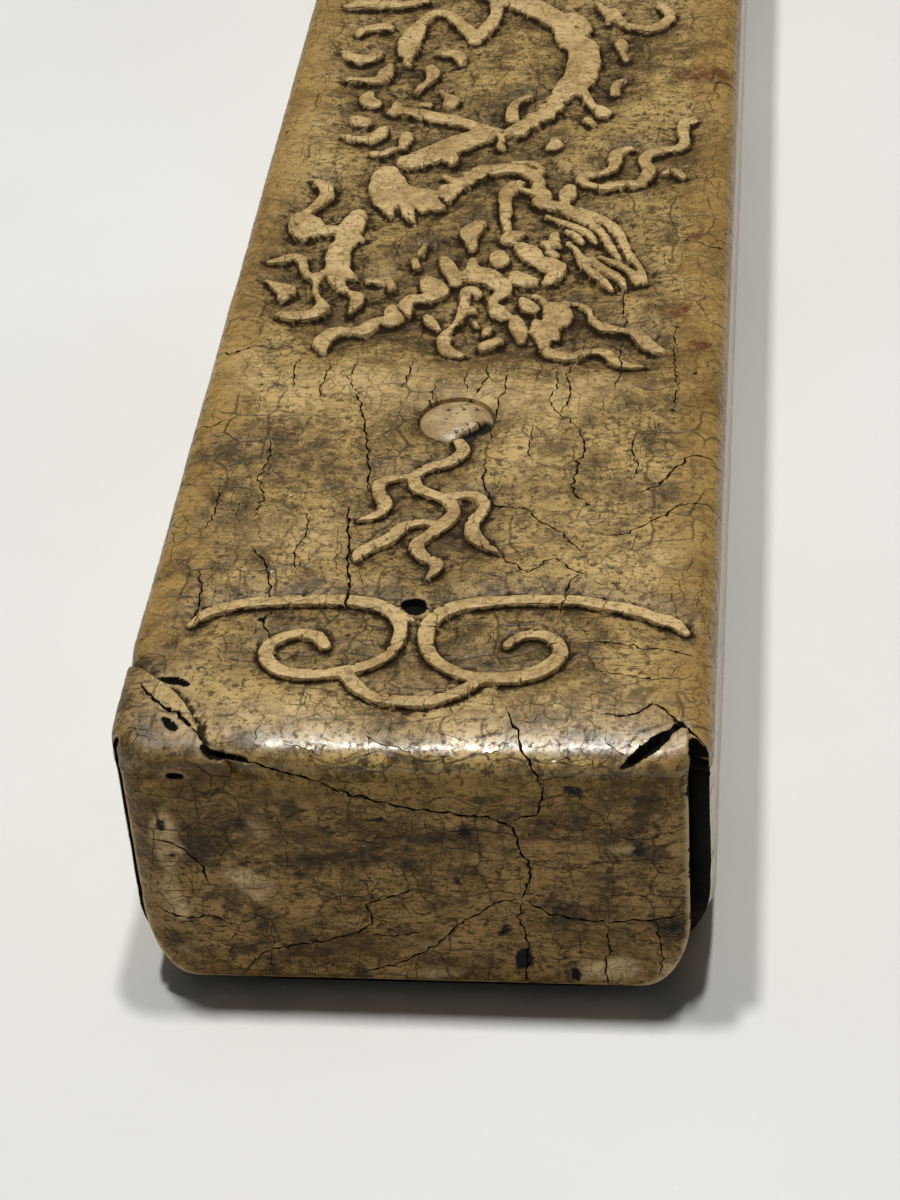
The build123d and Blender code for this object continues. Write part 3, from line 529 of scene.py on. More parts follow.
def lay_skin(rim, filling, cracks, form):
    """The front of a skin: a net of triangles inside a rim, shaped by `form`."""
    crack_points, crack_links, beds = crack_lines(cracks)
    tree = kdtree.KDTree(len(beds) * 4)
    half_widths = []
    for number, (x, y, half) in enumerate(beds):
        following = beds[min(number + 1, len(beds) - 1)]
        for k in range(4):
            t = k / 4 if abs(following[0] - x) + abs(following[1] - y) < 0.6 else 0
            spot = (x + t * (following[0] - x), y + t * (following[1] - y), 0)
            tree.insert(spot, len(half_widths))
            half_widths.append(half)
    tree.balance()
    filling = [(x, y) for x, y in filling if tree.find((x, y, 0))[2] >= 0.1]
    points = [Vector(place) for place in (*rim, *crack_points, *filling)]
    shift = len(rim)
    links = [(k, (k + 1) % len(rim)) for k in range(len(rim))]
    links += [(a + shift, b + shift) for a, b in crack_links]
    places, _, triangles, _, _, _ = delaunay_2d_cdt(points, links, [tuple(range(len(rim)))], 1, 1e-5)
    places = np.array([tuple(p) for p in places])
    crack, groove = np.zeros(len(places)), np.zeros(len(places))
    for number, (x, y) in enumerate(places):
        _, nearest, gap = tree.find((x, y, 0))
        if gap < half_widths[nearest]:
            crack[number] = 1 - gap / half_widths[nearest]
            groove[number] = crack[number] * half_widths[nearest] * 2.2
    corners, facts = form(places, groove)
    facts["crack"] = crack
    return corners, [tuple(t) for t in triangles], facts


def rounded_rim(half_x, half_y, radius, step):
    """Points round a rectangle with rounded corners."""
    rim = []
    for turn, (cx, cy) in enumerate([(1, 1), (-1, 1), (-1, -1), (1, -1)]):
        centre = np.array([cx * (half_x - radius), cy * (half_y - radius)])
        for k in range(int(radius * np.pi / 2 / step) + 1):
            angle = turn * np.pi / 2 + k / int(radius * np.pi / 2 / step) * np.pi / 2
            rim.append(centre + radius * np.array([np.cos(angle), np.sin(angle)]))
    closed = []
    for a, b in zip(rim, rim[1:] + rim[:1]):
        count = max(int(np.hypot(*(b - a)) / step + 0.5), 1)
        closed.extend(a + (b - a) * k / count for k in range(count))
    return [tuple(p) for p in closed]


# Points are closest along the edges of the strokes and sparse on the open ground.
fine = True
seen = 84 - half_length                    # the camera sees the top from the near end to here
grid_i, grid_j = np.meshgrid(np.arange(1, len(net_x) - 1), np.arange(1, len(net_y) - 1), indexing="ij")
grid_i, grid_j = grid_i.ravel(), grid_j.ravel()
spot = np.stack([net_x[grid_i], net_y[grid_j]], axis=1)
gap = edge[grid_i, grid_j]
over_x = np.clip(np.abs(spot[:, 0]) - flat_x, 0, None)
over_y = np.clip(np.abs(spot[:, 1]) - flat_y, 0, None)
in_rim = np.hypot(over_x, over_y) < roll_run - 0.12


def on_levels(field, levels, band, flattest, wanted):
    """Points of the net close to some level lines of a field, moved onto them."""
    slope = np.stack([part[grid_i, grid_j] for part in np.gradient(field, net)], axis=1)
    steep = np.hypot(slope[:, 0], slope[:, 1])
    moved = []
    for level in levels:
        off = field[grid_i, grid_j] - level
        near_level = (np.abs(off) < band * net) & (steep > flattest) & wanted
        push = (off[near_level] / steep[near_level] ** 2)[:, None]
        moved.append(spot[near_level] - push * slope[near_level])
    return moved


thinned = (spot[:, 1] < seen) | ((grid_i + grid_j) % 2 == 0)
chosen = on_levels(edge, (-0.11, 0.0, 0.1, 0.24), 0.6, 0.6, in_rim & thinned)
chosen += on_levels(cut, (-0.06, 0.06, 0.14, 0.24), 0.7, 0.5, in_rim)
round_steps = np.radians(np.arange(0, 360, 3))
for radius in (pearl_radius + 0.02, pearl_radius + 0.12):
    chosen.append(np.stack([pearl_x + radius * np.cos(round_steps),
                            pearl_y + radius * np.sin(round_steps)], 1))
for spacing, wanted in ((3, np.abs(gap) < 1.3), (6, np.abs(gap) >= 1.3)):
    further = np.where(spot[:, 1] < seen, spacing, spacing * 2)
    on_step = (grid_i % further == 0) & ((grid_j + (grid_i // further) * (further // 2)) % further == 0)
    chosen.append(spot[on_step & wanted & in_rim & (np.abs(gap - 0.08) > 0.28)])
chosen.append(spot[(over_y > 0) & (grid_i % 4 == 0) & (grid_j % 3 == 0) & in_rim])
chosen.append(spot[(over_x > 0) & (grid_i % 3 == 0) & (grid_j % 8 == 0) & in_rim])
chosen = np.vstack(chosen)
cells = np.round(chosen / 0.085).astype(int)
_, keep = np.unique(cells, axis=0, return_index=True)
chosen = chosen[keep]


def in_top(x, y):
    """Whether a crack may run here on the unrolled top."""
    over = np.hypot(max(abs(x) - flat_x, 0), max(abs(y) - flat_y, 0))
    return over < roll_run - 0.4


main_top_cracks = jagged([([(x, along - half_length) for x, along in path], width)
                          for path, width in top_cracks], 4)
fine_cracks = []
for count, span, seed in ((1500 if fine else 60, (-half_length, seen), 5),
                          (300 if fine else 10, (seen, half_length), 6)):
    fine_cracks += craze(count, in_top, main_top_cracks,
                         ((-flat_x - roll_run, flat_x + roll_run), span), seed)


# Patches on the top: place across, place along, half breadth, half length and strength.
top_stains = [(-10.4, 25, 3.2, 3.4, 0.8), (9.6, 20.8, 3.6, 2.4, 0.75), (-12.6, 15, 1.8, 2.6, 0.6),
              (10.6, 26, 2.2, 2, 0.45), (-9, 7, 3.2, 1.8, 0.8), (8.4, 9.2, 1.6, 1.2, 0.7),
              (-5.6, 9, 1.8, 1, 0.8), (0.4, 7.4, 1.8, 0.7, 0.6), (11.4, 8.6, 1.8, 1.5, 0.6),
              (9.4, 17.4, 3.2, 1.4, 0.7), (3, 21, 1.2, 2, 0.4), (-2, 12.8, 3, 0.7, 0.6),
              (10.5, 44, 1.6, 3, 0.4), (0.5, 43, 3, 5, 0.3), (-12, 19.5, 1.2, 2, 0.6),
              (-11.9, 2, 0.8, 0.55, 1.5)]
top_pale = [(-4.4, 31, 3.4, 1.6, 1.5), (1.8, 30.8, 2.6, 1.6, 1.5), (6, 30.6, 2.6, 1.3, 1.2),
            (2, 4, 3.2, 1.4, 0.8), (7, 31.4, 2.4, 1.2, 0.8), (-9, 30.6, 1.6, 1, 0.7), (4, 27, 1.4, 2, 0.7),
            (-12.4, 4.4, 0.6, 0.9, 1.6), (-11.4, 3.4, 0.6, 0.8, 1.6), (-10.5, 2.2, 0.6, 0.7, 1.5),
            (-9.4, 1.4, 0.7, 0.4, 1.2),
            (-4.6, 3.2, 2.4, 1.2, 0.7), (9, 3.4, 2, 1.2, 0.7), (-7.6, 17, 2.4, 1.2, 0.7),
            (4.8, 24.6, 1.4, 1.8, 0.7), (10.8, 15, 2.2, 1, 0.5), (-12.4, 33, 1.2, 2, 0.5),
            (7.4, 18.4, 1.2, 0.8, 0.6), (-12.4, 62, 1, 9, 0.4)]
top_rust = [(12.6, 48, 0.6, 0.8, 0.7), (11.9, 39, 0.8, 0.8, 0.65), (13.3, 35.2, 0.6, 0.7, 0.9),
            (12.9, 68, 1.6, 0.7, 0.9), (14, 30.4, 0.4, 0.6, 0.6), (-13.4, 23, 0.5, 0.7, 0.5)]
smears = 0.6 * ripples(0.9) + 0.4 * ripples(0.3)


def patches(spots, x, z):
    """How strongly some soft patches lie over some places."""
    field = np.zeros(len(x))
    for centre_x, centre_z, reach_x, reach_z, strength in spots:
        off = ((x - centre_x) / reach_x) ** 2 + ((z - centre_z) / reach_z) ** 2
        field = np.maximum(field, strength * np.exp(-off * 0.6))
    return field


def over_the_top(places, groove):
    """Rolls the flat net over the bar's top and sinks each point by its dip."""
    x, y = places[:, 0], places[:, 1]
    held_x = np.clip(x, -flat_x, flat_x)
    held_y = np.clip(y, -flat_y, flat_y)
    out_x, out_y = x - held_x, y - held_y
    out = np.hypot(out_x, out_y) + 1e-12
    bend = tight - 0.7 * (out_y / out) ** 2
    shelf = roll - bend
    run = out * (2 * shelf + bend * np.pi / 2) / roll_run
    angle = np.clip((run - shelf) / bend, 0, np.pi / 2)
    outward = np.where(run < shelf, run, shelf + bend * np.sin(angle))
    lift = shelf + bend * np.cos(angle) - np.clip(run - shelf - bend * np.pi / 2, 0, shelf)
    normal = np.stack([out_x / out * np.sin(angle), out_y / out * np.sin(angle), np.cos(angle)], 1)
    base = np.stack([held_x + out_x / out * outward, held_y + out_y / out * outward,
                     bar_height - roll + lift], 1)
    worn_slope = 0.053 * np.clip(np.abs(base[:, 1]) - worn_from, 0, None) ** 2
    base[:, 2] -= lift * worn_slope / roll
    at_rim = unit((roll_run - out) / 0.6)
    gap = on_net(edge, places)
    soft = on_net(in_dragon, places)
    foot = unit(gap / (0.1 + 0.06 * soft))
    crown = (0.02 + 0.06 * soft) * unit(1 + gap / (0.12 + 0.18 * soft)) ** 2
    sink = foot * on_net(low_ground, places) + (crown + on_net(worn_tops, places)) * (1 - foot)
    sink += np.clip(on_net(unevenness, places), 0, None) + on_net(pitted, places)
    pearl_gap = np.hypot(x - pearl_x, y - pearl_y) - pearl_radius
    sink = np.maximum(sink, socket_depth * unit(1 - (pearl_gap - 0.02) / 0.08))
    inside = unit(0.5 - on_net(cut, places) / 0.12)
    hollow = inside * on_net(cut_depth, places)
    sink = np.maximum(sink * at_rim + groove * (at_rim > 0.1), 0) + hollow
    corners = base - normal * sink[:, None]
    walls = unit((gap - 0.01) / 0.08)
    smeared = 1 + 0.8 * on_net(smears, places)
    facts = {"soot_and_shade": np.maximum(walls * on_net(soot_and_shade, places), on_net(socket, places)),
             "stroke": unit(1 - gap / 0.04) * ((x > -8.4) | (y > 7.5 - half_length)),
             "bare": unit((0.14 - on_net(cut, places)) / 0.07),
             "lip": unit(1 - np.abs(on_net(cut, places) - 0.22) / 0.08),
             "end_roll": unit((np.abs(out_y) - 1.8) / 1.3),
             "margin": unit((np.abs(x) - 11.6 - 0.8 * on_net(smears, places)) / 1.2),
             "stain": unit(patches(top_stains, x, y + half_length) * smeared),
             "pale": unit(patches(top_pale, x, y + half_length) * smeared),
             "rust": patches(top_rust, x, y + half_length) * (y < seen),
             "sunk": unit(on_net(crowd, places) * 1.4)}
    return corners, facts


rim = rounded_rim(flat_x + roll_run, flat_y + roll_run, roll_run, 0.3)
corners, triangles, facts = lay_skin(rim, chosen, main_top_cracks + fine_cracks, over_the_top)


def new_piece(name, corners, faces):
    """A mesh object through corners given in mm."""
    mesh = bpy.data.meshes.new(name)
    mesh.from_pydata((corners * MM).tolist(), [], faces)
    piece = bpy.data.objects.new(name, mesh)
    bpy.context.collection.objects.link(piece)
    return piece


def smooth(piece, crease, slivers=False):
    """Turns every face outwards and smooths all edges flatter than a crease in degrees."""
    bpy.ops.object.select_all(action="DESELECT")
    bpy.context.view_layer.objects.active = piece
    piece.select_set(True)
    bpy.ops.object.mode_set(mode="EDIT")
    bpy.ops.mesh.select_all(action="SELECT")
    if slivers:
        bpy.ops.mesh.dissolve_degenerate(threshold=1e-7)
        bpy.ops.mesh.select_all(action="SELECT")
    bpy.ops.mesh.normals_make_consistent(inside=False)
    bpy.ops.object.mode_set(mode="OBJECT")
    bpy.ops.object.shade_smooth_by_angle(angle=np.radians(crease))
    piece.select_set(False)


def make_skin(name, corners, triangles, rim_count, facts, behind):
    """The mesh object of a skin. `behind` is the rim carried inwards, or None for a flat back."""
    walls, cap = [], [tuple(range(rim_count))]
    if behind is not None:
        first = len(corners)
        corners = np.vstack([corners, behind])
        walls = [(k, (k + 1) % rim_count, first + (k + 1) % rim_count, first + k)
                 for k in range(rim_count)]
        cap = [tuple(range(first, first + rim_count))]
        facts = {key: np.concatenate([value, np.zeros(rim_count)]) for key, value in facts.items()}
    piece = new_piece(name, corners, triangles + walls + cap)
    for face in piece.data.polygons[len(triangles):]:
        face.material_index = 1
    for key, value in facts.items():
        attribute = piece.data.attributes.new(key, "FLOAT", "POINT")
        attribute.data.foreach_set("value", value.astype(np.float32))
    smooth(piece, 42, slivers=True)
    return piece


top_coat = make_skin("top_coat", corners, triangles, len(rim), facts, None)


def paint(red, green, blue):
    """A colour as it looks on a paint card, from 0 to 255 each, ready for a socket."""
    card = np.array([red, green, blue]) / 255
    mixed = np.where(card <= 0.04045, card / 12.92, ((card + 0.055) / 1.055) ** 2.4)
    return (*mixed.tolist(), 1.0)


def add(tree, kind, inputs=None, **settings):
    """A node with its settings. Its inputs are given values, or joined to other sockets."""
    made = tree.nodes.new(kind)
    for key, value in settings.items():
        setattr(made, key, value)
    for key, value in (inputs or {}).items():
        if isinstance(value, bpy.types.NodeSocket):
            tree.links.new(value, made.inputs[key])
        else:
            made.inputs[key].default_value = value
    return made


def blend_colours(tree, amount, under, over):
    """One colour laid over another by a mask."""
    made = add(tree, "ShaderNodeMix", {0: amount, 6: under, 7: over}, data_type="RGBA")
    return made.outputs[2]


def sums(tree, operation, *values, clamp=False):
    """One step of arithmetic on masks."""
    made = add(tree, "ShaderNodeMath", dict(enumerate(values)), operation=operation, use_clamp=clamp)
    return made.outputs[0]


def weighted(tree, base, *parts, clamp=True):
    """A base value and some masks, each times its weight, added up."""
    total = base
    for mask, weight in parts:
        total = sums(tree, "ADD", total, sums(tree, "MULTIPLY", mask, weight), clamp=clamp)
    return total


def spread(tree, value, low, high):
    """A mask stretched so that it rises from 0 at `low` to 1 at `high`."""
    made = add(tree, "ShaderNodeMapRange", {0: value, 1: low, 2: high}, interpolation_type="SMOOTHSTEP")
    return made.outputs[0]


def clouds_of(tree, vector, scale, detail=3.0, rough=0.5, warp=0.0):
    """Soft random patches."""
    made = add(tree, "ShaderNodeTexNoise", {"Vector": vector, "Scale": scale, "Detail": detail,
                                            "Roughness": rough, "Distortion": warp})
    return made.outputs[0]


def effect(name, takes, gives):
    """An empty effect with its named inputs and outputs."""
    tree = bpy.data.node_groups.new(name, "ShaderNodeTree")
    for label, kind, value in takes:
        socket = tree.interface.new_socket(label, in_out="INPUT", socket_type=kind)
        if value is not None:
            socket.default_value = value
    for label, kind in gives:
        tree.interface.new_socket(label, in_out="OUTPUT", socket_type=kind)
    return tree, tree.nodes.new("NodeGroupInput").outputs, tree.nodes.new("NodeGroupOutput").inputs


# Old lacquer: three browns in patches, with fine dark flecks and a grain along one direction.
tree, given, result = effect(
    "old_lacquer",
    [("Vector", "NodeSocketVector", None), ("Light", "NodeSocketColor", None),
     ("Deep", "NodeSocketColor", None), ("Dark", "NodeSocketColor", None),
     ("Darkening", "NodeSocketFloat", 0.5), ("Flecks", "NodeSocketFloat", 0.5)],
    [("Color", "NodeSocketColor"), ("Cloud", "NodeSocketFloat"), ("Grain", "NodeSocketFloat")])
broad = clouds_of(tree, given["Vector"], 150.0, 4.0, 0.55, 0.4)
medium = clouds_of(tree, given["Vector"], 620.0, 6.0, 0.68, 0.5)
small = clouds_of(tree, given["Vector"], 2300.0, 4.0, 0.7, 0.3)
fine_grain = clouds_of(tree, given["Vector"], 5200.0, 2.0, 0.6)
wash = weighted(tree, 0.0, (broad, 0.45), (medium, 0.55))
colour = blend_colours(tree, spread(tree, wash, 0.4, 0.6), given["Deep"], given["Light"])
patchy = weighted(tree, 0.0, (medium, 0.4), (broad, 0.2), (small, 0.4))
dark_patch = sums(tree, "MULTIPLY", spread(tree, patchy, 0.5, 0.43), given["Darkening"], clamp=True)
colour = blend_colours(tree, dark_patch, colour, given["Dark"])
brushed = add(tree, "ShaderNodeMapping", {"Vector": given["Vector"], "Scale": (0.3, 1.5, 1.5)}).outputs[0]
streak = clouds_of(tree, brushed, 2600.0, 3.0, 0.6)
streak = sums(tree, "MULTIPLY", spread(tree, streak, 0.5, 0.64), given["Flecks"], clamp=True)
colour = blend_colours(tree, sums(tree, "MULTIPLY", streak, 0.45), colour, given["Dark"])
bright = sums(tree, "MULTIPLY", spread(tree, small, 0.45, 0.34), 0.7)
colour = blend_colours(tree, bright, colour, given["Light"])
fleck = sums(tree, "MULTIPLY", spread(tree, small, 0.53, 0.6), given["Flecks"], clamp=True)
colour = blend_colours(tree, fleck, colour, given["Dark"])
pits = add(tree, "ShaderNodeTexVoronoi", {"Vector": given["Vector"], "Scale": 950.0}).outputs[0]
pits = sums(tree, "MULTIPLY", spread(tree, pits, 0.26, 0.12), spread(tree, medium, 0.5, 0.56))
pits = sums(tree, "MULTIPLY", pits, given["Flecks"], clamp=True)
colour = blend_colours(tree, pits, colour, given["Dark"])
tiny = sums(tree, "MULTIPLY", spread(tree, fine_grain, 0.58, 0.68), given["Flecks"], clamp=True)
colour = blend_colours(tree, sums(tree, "MULTIPLY", tiny, 0.8), colour, given["Dark"])
tree.links.new(colour, result["Color"])
tree.links.new(broad, result["Cloud"])
grain = weighted(tree, 0.0, (small, 0.7), (fine_grain, 0.3))
tree.links.new(grain, result["Grain"])
old_lacquer = tree

# Hairline crazing: broken cells squared up along and across the bar.
tree, given, result = effect(
    "crazing",
    [("Vector", "NodeSocketVector", None), ("Cells", "NodeSocketFloat", 400.0),
     ("Width", "NodeSocketFloat", 0.03), ("Broken", "NodeSocketFloat", 0.5)],
    [("Lines", "NodeSocketFloat")])
wander = add(tree, "ShaderNodeTexNoise", {"Vector": given["Vector"], "Scale": 500.0, "Detail": 2.0})
pushed = add(tree, "ShaderNodeVectorMath", {0: wander.outputs[1], 1: (0.5, 0.5, 0.5)},
             operation="SUBTRACT")
pushed = add(tree, "ShaderNodeVectorMath", {0: pushed.outputs[0], "Scale": 0.0011},
             operation="SCALE")
bent = add(tree, "ShaderNodeVectorMath", {0: given["Vector"], 1: pushed.outputs[0]})
cell = add(tree, "ShaderNodeTexVoronoi", {"Vector": bent.outputs[0], "Scale": given["Cells"],
                                          "Randomness": 0.5},
           feature="DISTANCE_TO_EDGE")
line = spread(tree, cell.outputs[0], given["Width"], 0.0)
fine_scale = sums(tree, "MULTIPLY", given["Cells"], 2.3)
fine_cell = add(tree, "ShaderNodeTexVoronoi", {"Vector": bent.outputs[0], "Scale": fine_scale,
                                               "Randomness": 0.55},
                feature="DISTANCE_TO_EDGE")
fine_line = spread(tree, fine_cell.outputs[0], given["Width"], 0.0)
where = clouds_of(tree, given["Vector"], 260.0, 2.0)
line = sums(tree, "MULTIPLY", line, spread(tree, where, given["Broken"], 0.6))
elsewhere = clouds_of(tree, bent.outputs[0], 330.0, 2.0)
fine_line = sums(tree, "MULTIPLY", fine_line, spread(tree, elsewhere, given["Broken"], 0.62))
tree.links.new(sums(tree, "MAXIMUM", line, sums(tree, "MULTIPLY", fine_line, 0.7)), result["Lines"])
crazing = tree

# Dirt and painted shade held in hollows. The mask from the mesh is broken up so that it looks settled in;
# other patches use it too.
tree, given, result = effect(
    "settled_dirt_and_shade",
    [("Vector", "NodeSocketVector", None), ("Mask", "NodeSocketFloat", 0.0),
     ("Amount", "NodeSocketFloat", 1.0)],
    [("Mask", "NodeSocketFloat")])
grit = clouds_of(tree, given["Vector"], 1500.0, 5.0, 0.65)
lumpy = sums(tree, "MULTIPLY", sums(tree, "SUBTRACT", grit, 0.5), 2.6)
laid = spread(tree, sums(tree, "ADD", given["Mask"], lumpy), 0.2, 0.8)
laid = sums(tree, "MULTIPLY", laid, spread(tree, given["Mask"], 0.0, 0.25))
tree.links.new(sums(tree, "MULTIPLY", laid, given["Amount"], clamp=True), result["Mask"])
settled_dirt_and_shade = tree


def place_effect(tree, group, **inputs):
    """An effect placed in a material."""
    return add(tree, "ShaderNodeGroup", inputs, node_tree=group).outputs


def lacquer_in(tree, place, light, deep, dark, darkening, flecks):
    """Old lacquer in three browns. Gives its colour, its broad clouds and its grain."""
    return place_effect(tree, old_lacquer, Vector=place, Light=paint(*light), Deep=paint(*deep),
                        Dark=paint(*dark), Darkening=darkening, Flecks=flecks)


def mesh_mask(tree, name):
    """A mask kept with the points of a mesh."""
    return add(tree, "ShaderNodeAttribute", attribute_name=name).outputs["Fac"]


def settled(tree, place, name, amount=1.0):
    """One of the masks of the mesh, broken up as soot settles. It carries stains and dirt, and also
    painted shade.
    """
    return place_effect(tree, settled_dirt_and_shade, Vector=place, Mask=mesh_mask(tree, name), Amount=amount)[0]


def faded(tree, mask, share):
    """A mask at a share of its strength."""
    return sums(tree, "MULTIPLY", mask, share)


def new_finish(name):
    """An empty material and the place on the piece."""
    finish = bpy.data.materials.new(name)
    finish.use_nodes = True
    finish.node_tree.nodes.clear()
    place = add(finish.node_tree, "ShaderNodeTexCoord").outputs["Object"]
    return finish, finish.node_tree, place


def lay_finish(finish, pieces, colour, rough, relief, more):
    """Completes a finish and lays it on its pieces. The relief is a height, a depth and a strength."""
    tree = finish.node_tree
    bump = add(tree, "ShaderNodeBump", dict(zip(("Height", "Distance", "Strength"), relief)))
    shader = add(tree, "ShaderNodeBsdfPrincipled",
                 {"Base Color": colour, "Roughness": rough, "Normal": bump.outputs[0], **more})
    add(tree, "ShaderNodeOutputMaterial", {0: shader.outputs[0]})
    for piece in pieces:
        piece.data.materials.append(finish)


finish, tree, place = new_finish("gilt_top_lacquer")
soot_and_shade_mask = settled(tree, place, "soot_and_shade")
lacquer = lacquer_in(tree, place, (198, 167, 102), (150, 120, 62), (60, 45, 20), 0.78, 0.82)
handled = lacquer_in(tree, place, (170, 137, 74), (144, 112, 55), (80, 57, 24), 0.35, 0.5)
rubbed = lacquer_in(tree, place, (212, 183, 128), (188, 157, 102), (104, 77, 36), 0.35, 0.55)
low_part = lacquer_in(tree, place, (158, 130, 78), (124, 99, 54), (58, 43, 20), 0.8, 0.8)
colour = blend_colours(tree, mesh_mask(tree, "margin"), lacquer[0], handled[0])
stained = settled(tree, place, "stain")
colour = blend_colours(tree, stained, colour, low_part[0])
colour = blend_colours(tree, mesh_mask(tree, "sunk"), colour, low_part[0])
colour = blend_colours(tree, faded(tree, mesh_mask(tree, "pale"), 0.85), colour, rubbed[0])
colour = blend_colours(tree, mesh_mask(tree, "stroke"), colour, rubbed[0])
# Painted shade, with some dirt, in the hollows beside the strokes and round the pearl.
colour = blend_colours(tree, soot_and_shade_mask, colour, paint(46, 34, 17))
rusty = settled(tree, place, "rust")
colour = blend_colours(tree, rusty, colour, paint(104, 62, 22))
shaded_end = lacquer_in(tree, place, (170, 137, 76), (136, 105, 52), (60, 43, 17), 0.6, 0.7)
colour = blend_colours(tree, mesh_mask(tree, "end_roll"), colour, shaded_end[0])
hairs = place_effect(tree, crazing, Vector=place, Cells=420.0, Width=0.05, Broken=0.42)[0]
shown = weighted(tree, 0.75, (mesh_mask(tree, "stroke"), -0.45))
colour = blend_colours(tree, sums(tree, "MULTIPLY", hairs, shown), colour, paint(52, 38, 20))
colour = blend_colours(tree, faded(tree, mesh_mask(tree, "lip"), 0.4), colour, paint(214, 188, 140))
cracked = spread(tree, mesh_mask(tree, "crack"), 0.0, 0.35)
colour = blend_colours(tree, cracked, colour, paint(28, 20, 11))
bare_ink = spread(tree, mesh_mask(tree, "bare"), 0.25, 0.6)
colour = blend_colours(tree, bare_ink, colour, paint(16, 15, 11))
rough = weighted(tree, 0.32, (lacquer[1], 0.2), (soot_and_shade_mask, 0.3), (bare_ink, 0.5), (lacquer[2], 0.2))
height = weighted(tree, 0.0, (lacquer[2], 0.9), (hairs, -0.6), clamp=False)
dull = sums(tree, "MAXIMUM", sums(tree, "MAXIMUM", soot_and_shade_mask, bare_ink), cracked)
dull = sums(tree, "MAXIMUM", dull, mesh_mask(tree, "end_roll"))
shine = weighted(tree, 0.4, (dull, -0.26))
dull = sums(tree, "MAXIMUM", dull, faded(tree, mesh_mask(tree, "sunk"), 0.85))
dull = sums(tree, "MAXIMUM", dull, faded(tree, mesh_mask(tree, "margin"), 0.6))
polish = sums(tree, "MULTIPLY", spread(tree, lacquer[2], 0.64, 0.42),
              sums(tree, "SUBTRACT", 1.0, dull), clamp=True)
lay_finish(finish, [top_coat], colour, rough, (height, 0.0001, 0.8),
           {"IOR": 1.5, "Specular IOR Level": shine, "Coat Weight": polish, "Coat Roughness": 0.27})
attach(top_coat, "root")
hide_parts("top_skin")

# ---------------------------------------------------------------- coat on the two ends
# The same lacquer carried down over each end, rubbed thin and darker. It has split away from the
# sides at the bar's upright corners, and the near end is cracked across and stained.

low, high = (np.array(corner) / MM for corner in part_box("near_end_skin"))
end_half, end_foot, end_head = high[0], low[2], high[2]
end_back = high[1]

end_cracks = [
    ([(-4.3, 15.05), (-3.4, 14.6), (-2.5, 14.2), (-1, 13.7), (1, 13.3), (3.5, 13), (4.5, 12.7),
      (5.2, 12), (5.3, 11), (5.8, 10), (5.9, 9), (5.6, 8.2), (5.3, 7.4)], 0.12),
    ([(5.3, 7.4), (4.2, 7.2), (3, 6.2), (2.2, 5.7), (1, 4.3), (-1, 2.8), (-3.2, 2)], 0.1),
    ([(5.5, 7.3), (7, 6.4), (9.5, 6), (12, 6.2), (13.4, 6.5)], 0.11),
    ([(-9.2, 2), (-7.8, 3.4), (-3.2, 4.8), (-2.3, 6.2), (-2.6, 6.8), (-1, 7.5), (0, 8)], 0.1),
    ([(6.6, 15.05), (6.7, 14.3), (6.2, 13.2), (5.1, 12.7)], 0.11),
    ([(-13.4, 6.2), (-12, 5.6), (-10.8, 5.8), (-9.4, 5.2)], 0.1),
    ([(5.3, 7.4), (5.2, 5.6), (5.6, 4), (5.4, 2.4), (5.6, 1.3)], 0.1),
    ([(-13.4, 11), (-12.2, 10.8), (-11, 9.6), (-10.6, 8)], 0.1),
    ([(-3.2, 4.8), (-1.4, 4.6), (0.2, 5)], 0.08),
    ([(9.5, 6), (9.7, 4.4), (9.4, 2.6), (9.6, 1.3)], 0.09),
    ([(12, 6.2), (12.3, 4.4), (12.2, 2.2)], 0.08),
]

# Stains on the near end: place across, height, breadth and height of the patch, and strength.
end_soot = [(12.1, 13.1, 1.1, 0.9, 1), (11.6, 10.6, 1.2, 0.6, 0.7), (7.1, 6.5, 1.3, 0.8, 1),
            (12.8, 6.2, 0.8, 1.6, 1), (7.8, 2.3, 0.6, 0.8, 1), (-10.6, 10.8, 1, 1.4, 0.9),
            (-10.1, 7, 1, 0.9, 1), (-9.4, 2.8, 1.5, 1.3, 1), (-6.7, 4.3, 0.7, 0.9, 0.9),
            (-3.8, 1.9, 0.8, 0.7, 1), (-5.9, 13.2, 1.2, 0.5, 0.9), (-6.4, 10.4, 1.2, 0.9, 0.6),
            (-5, 8.6, 2.2, 0.6, 0.5), (0.8, 9.6, 3, 0.6, 0.6), (1.5, 11.6, 3.4, 0.5, 0.6),
            (8.6, 12.4, 2, 0.6, 0.6), (9.4, 8.6, 1.4, 0.8, 0.6), (-1.2, 5.4, 2.2, 0.6, 0.5),
            (3.4, 14, 2.6, 0.4, 0.5),
            (-12.6, 4.4, 0.5, 0.8, 0.6), (-9.4, 9, 2.2, 4, 0.55), (-6, 5, 3, 3.4, 0.5),
            (-3, 10.6, 4, 1.6, 0.4)]
end_bare = [(4.6, 5.4, 0.7, 1.1, 1), (5.2, 3.2, 0.6, 1.2, 1), (4.1, 6.4, 0.3, 0.5, 0.8),
            (12.9, 6.4, 0.3, 1, 0.95), (7.9, 2.3, 0.35, 0.5, 0.9),
            (6.6, 6.7, 0.7, 0.3, 0.85), (-12.6, 12.2, 0.15, 0.3, 0.8), (7.5, 10, 0.25, 0.2, 1),
            (-1.3, 12.6, 0.6, 0.2, 1), (-3.7, 1.7, 0.5, 0.35, 0.9), (12.2, 13.3, 0.5, 0.4, 0.8),
            (-9.2, 14, 0.15, 0.3, 0.8), (-8.7, 14.1, 0.12, 0.3, 0.8), (-12.3, 9.9, 0.4, 0.15, 0.8)]
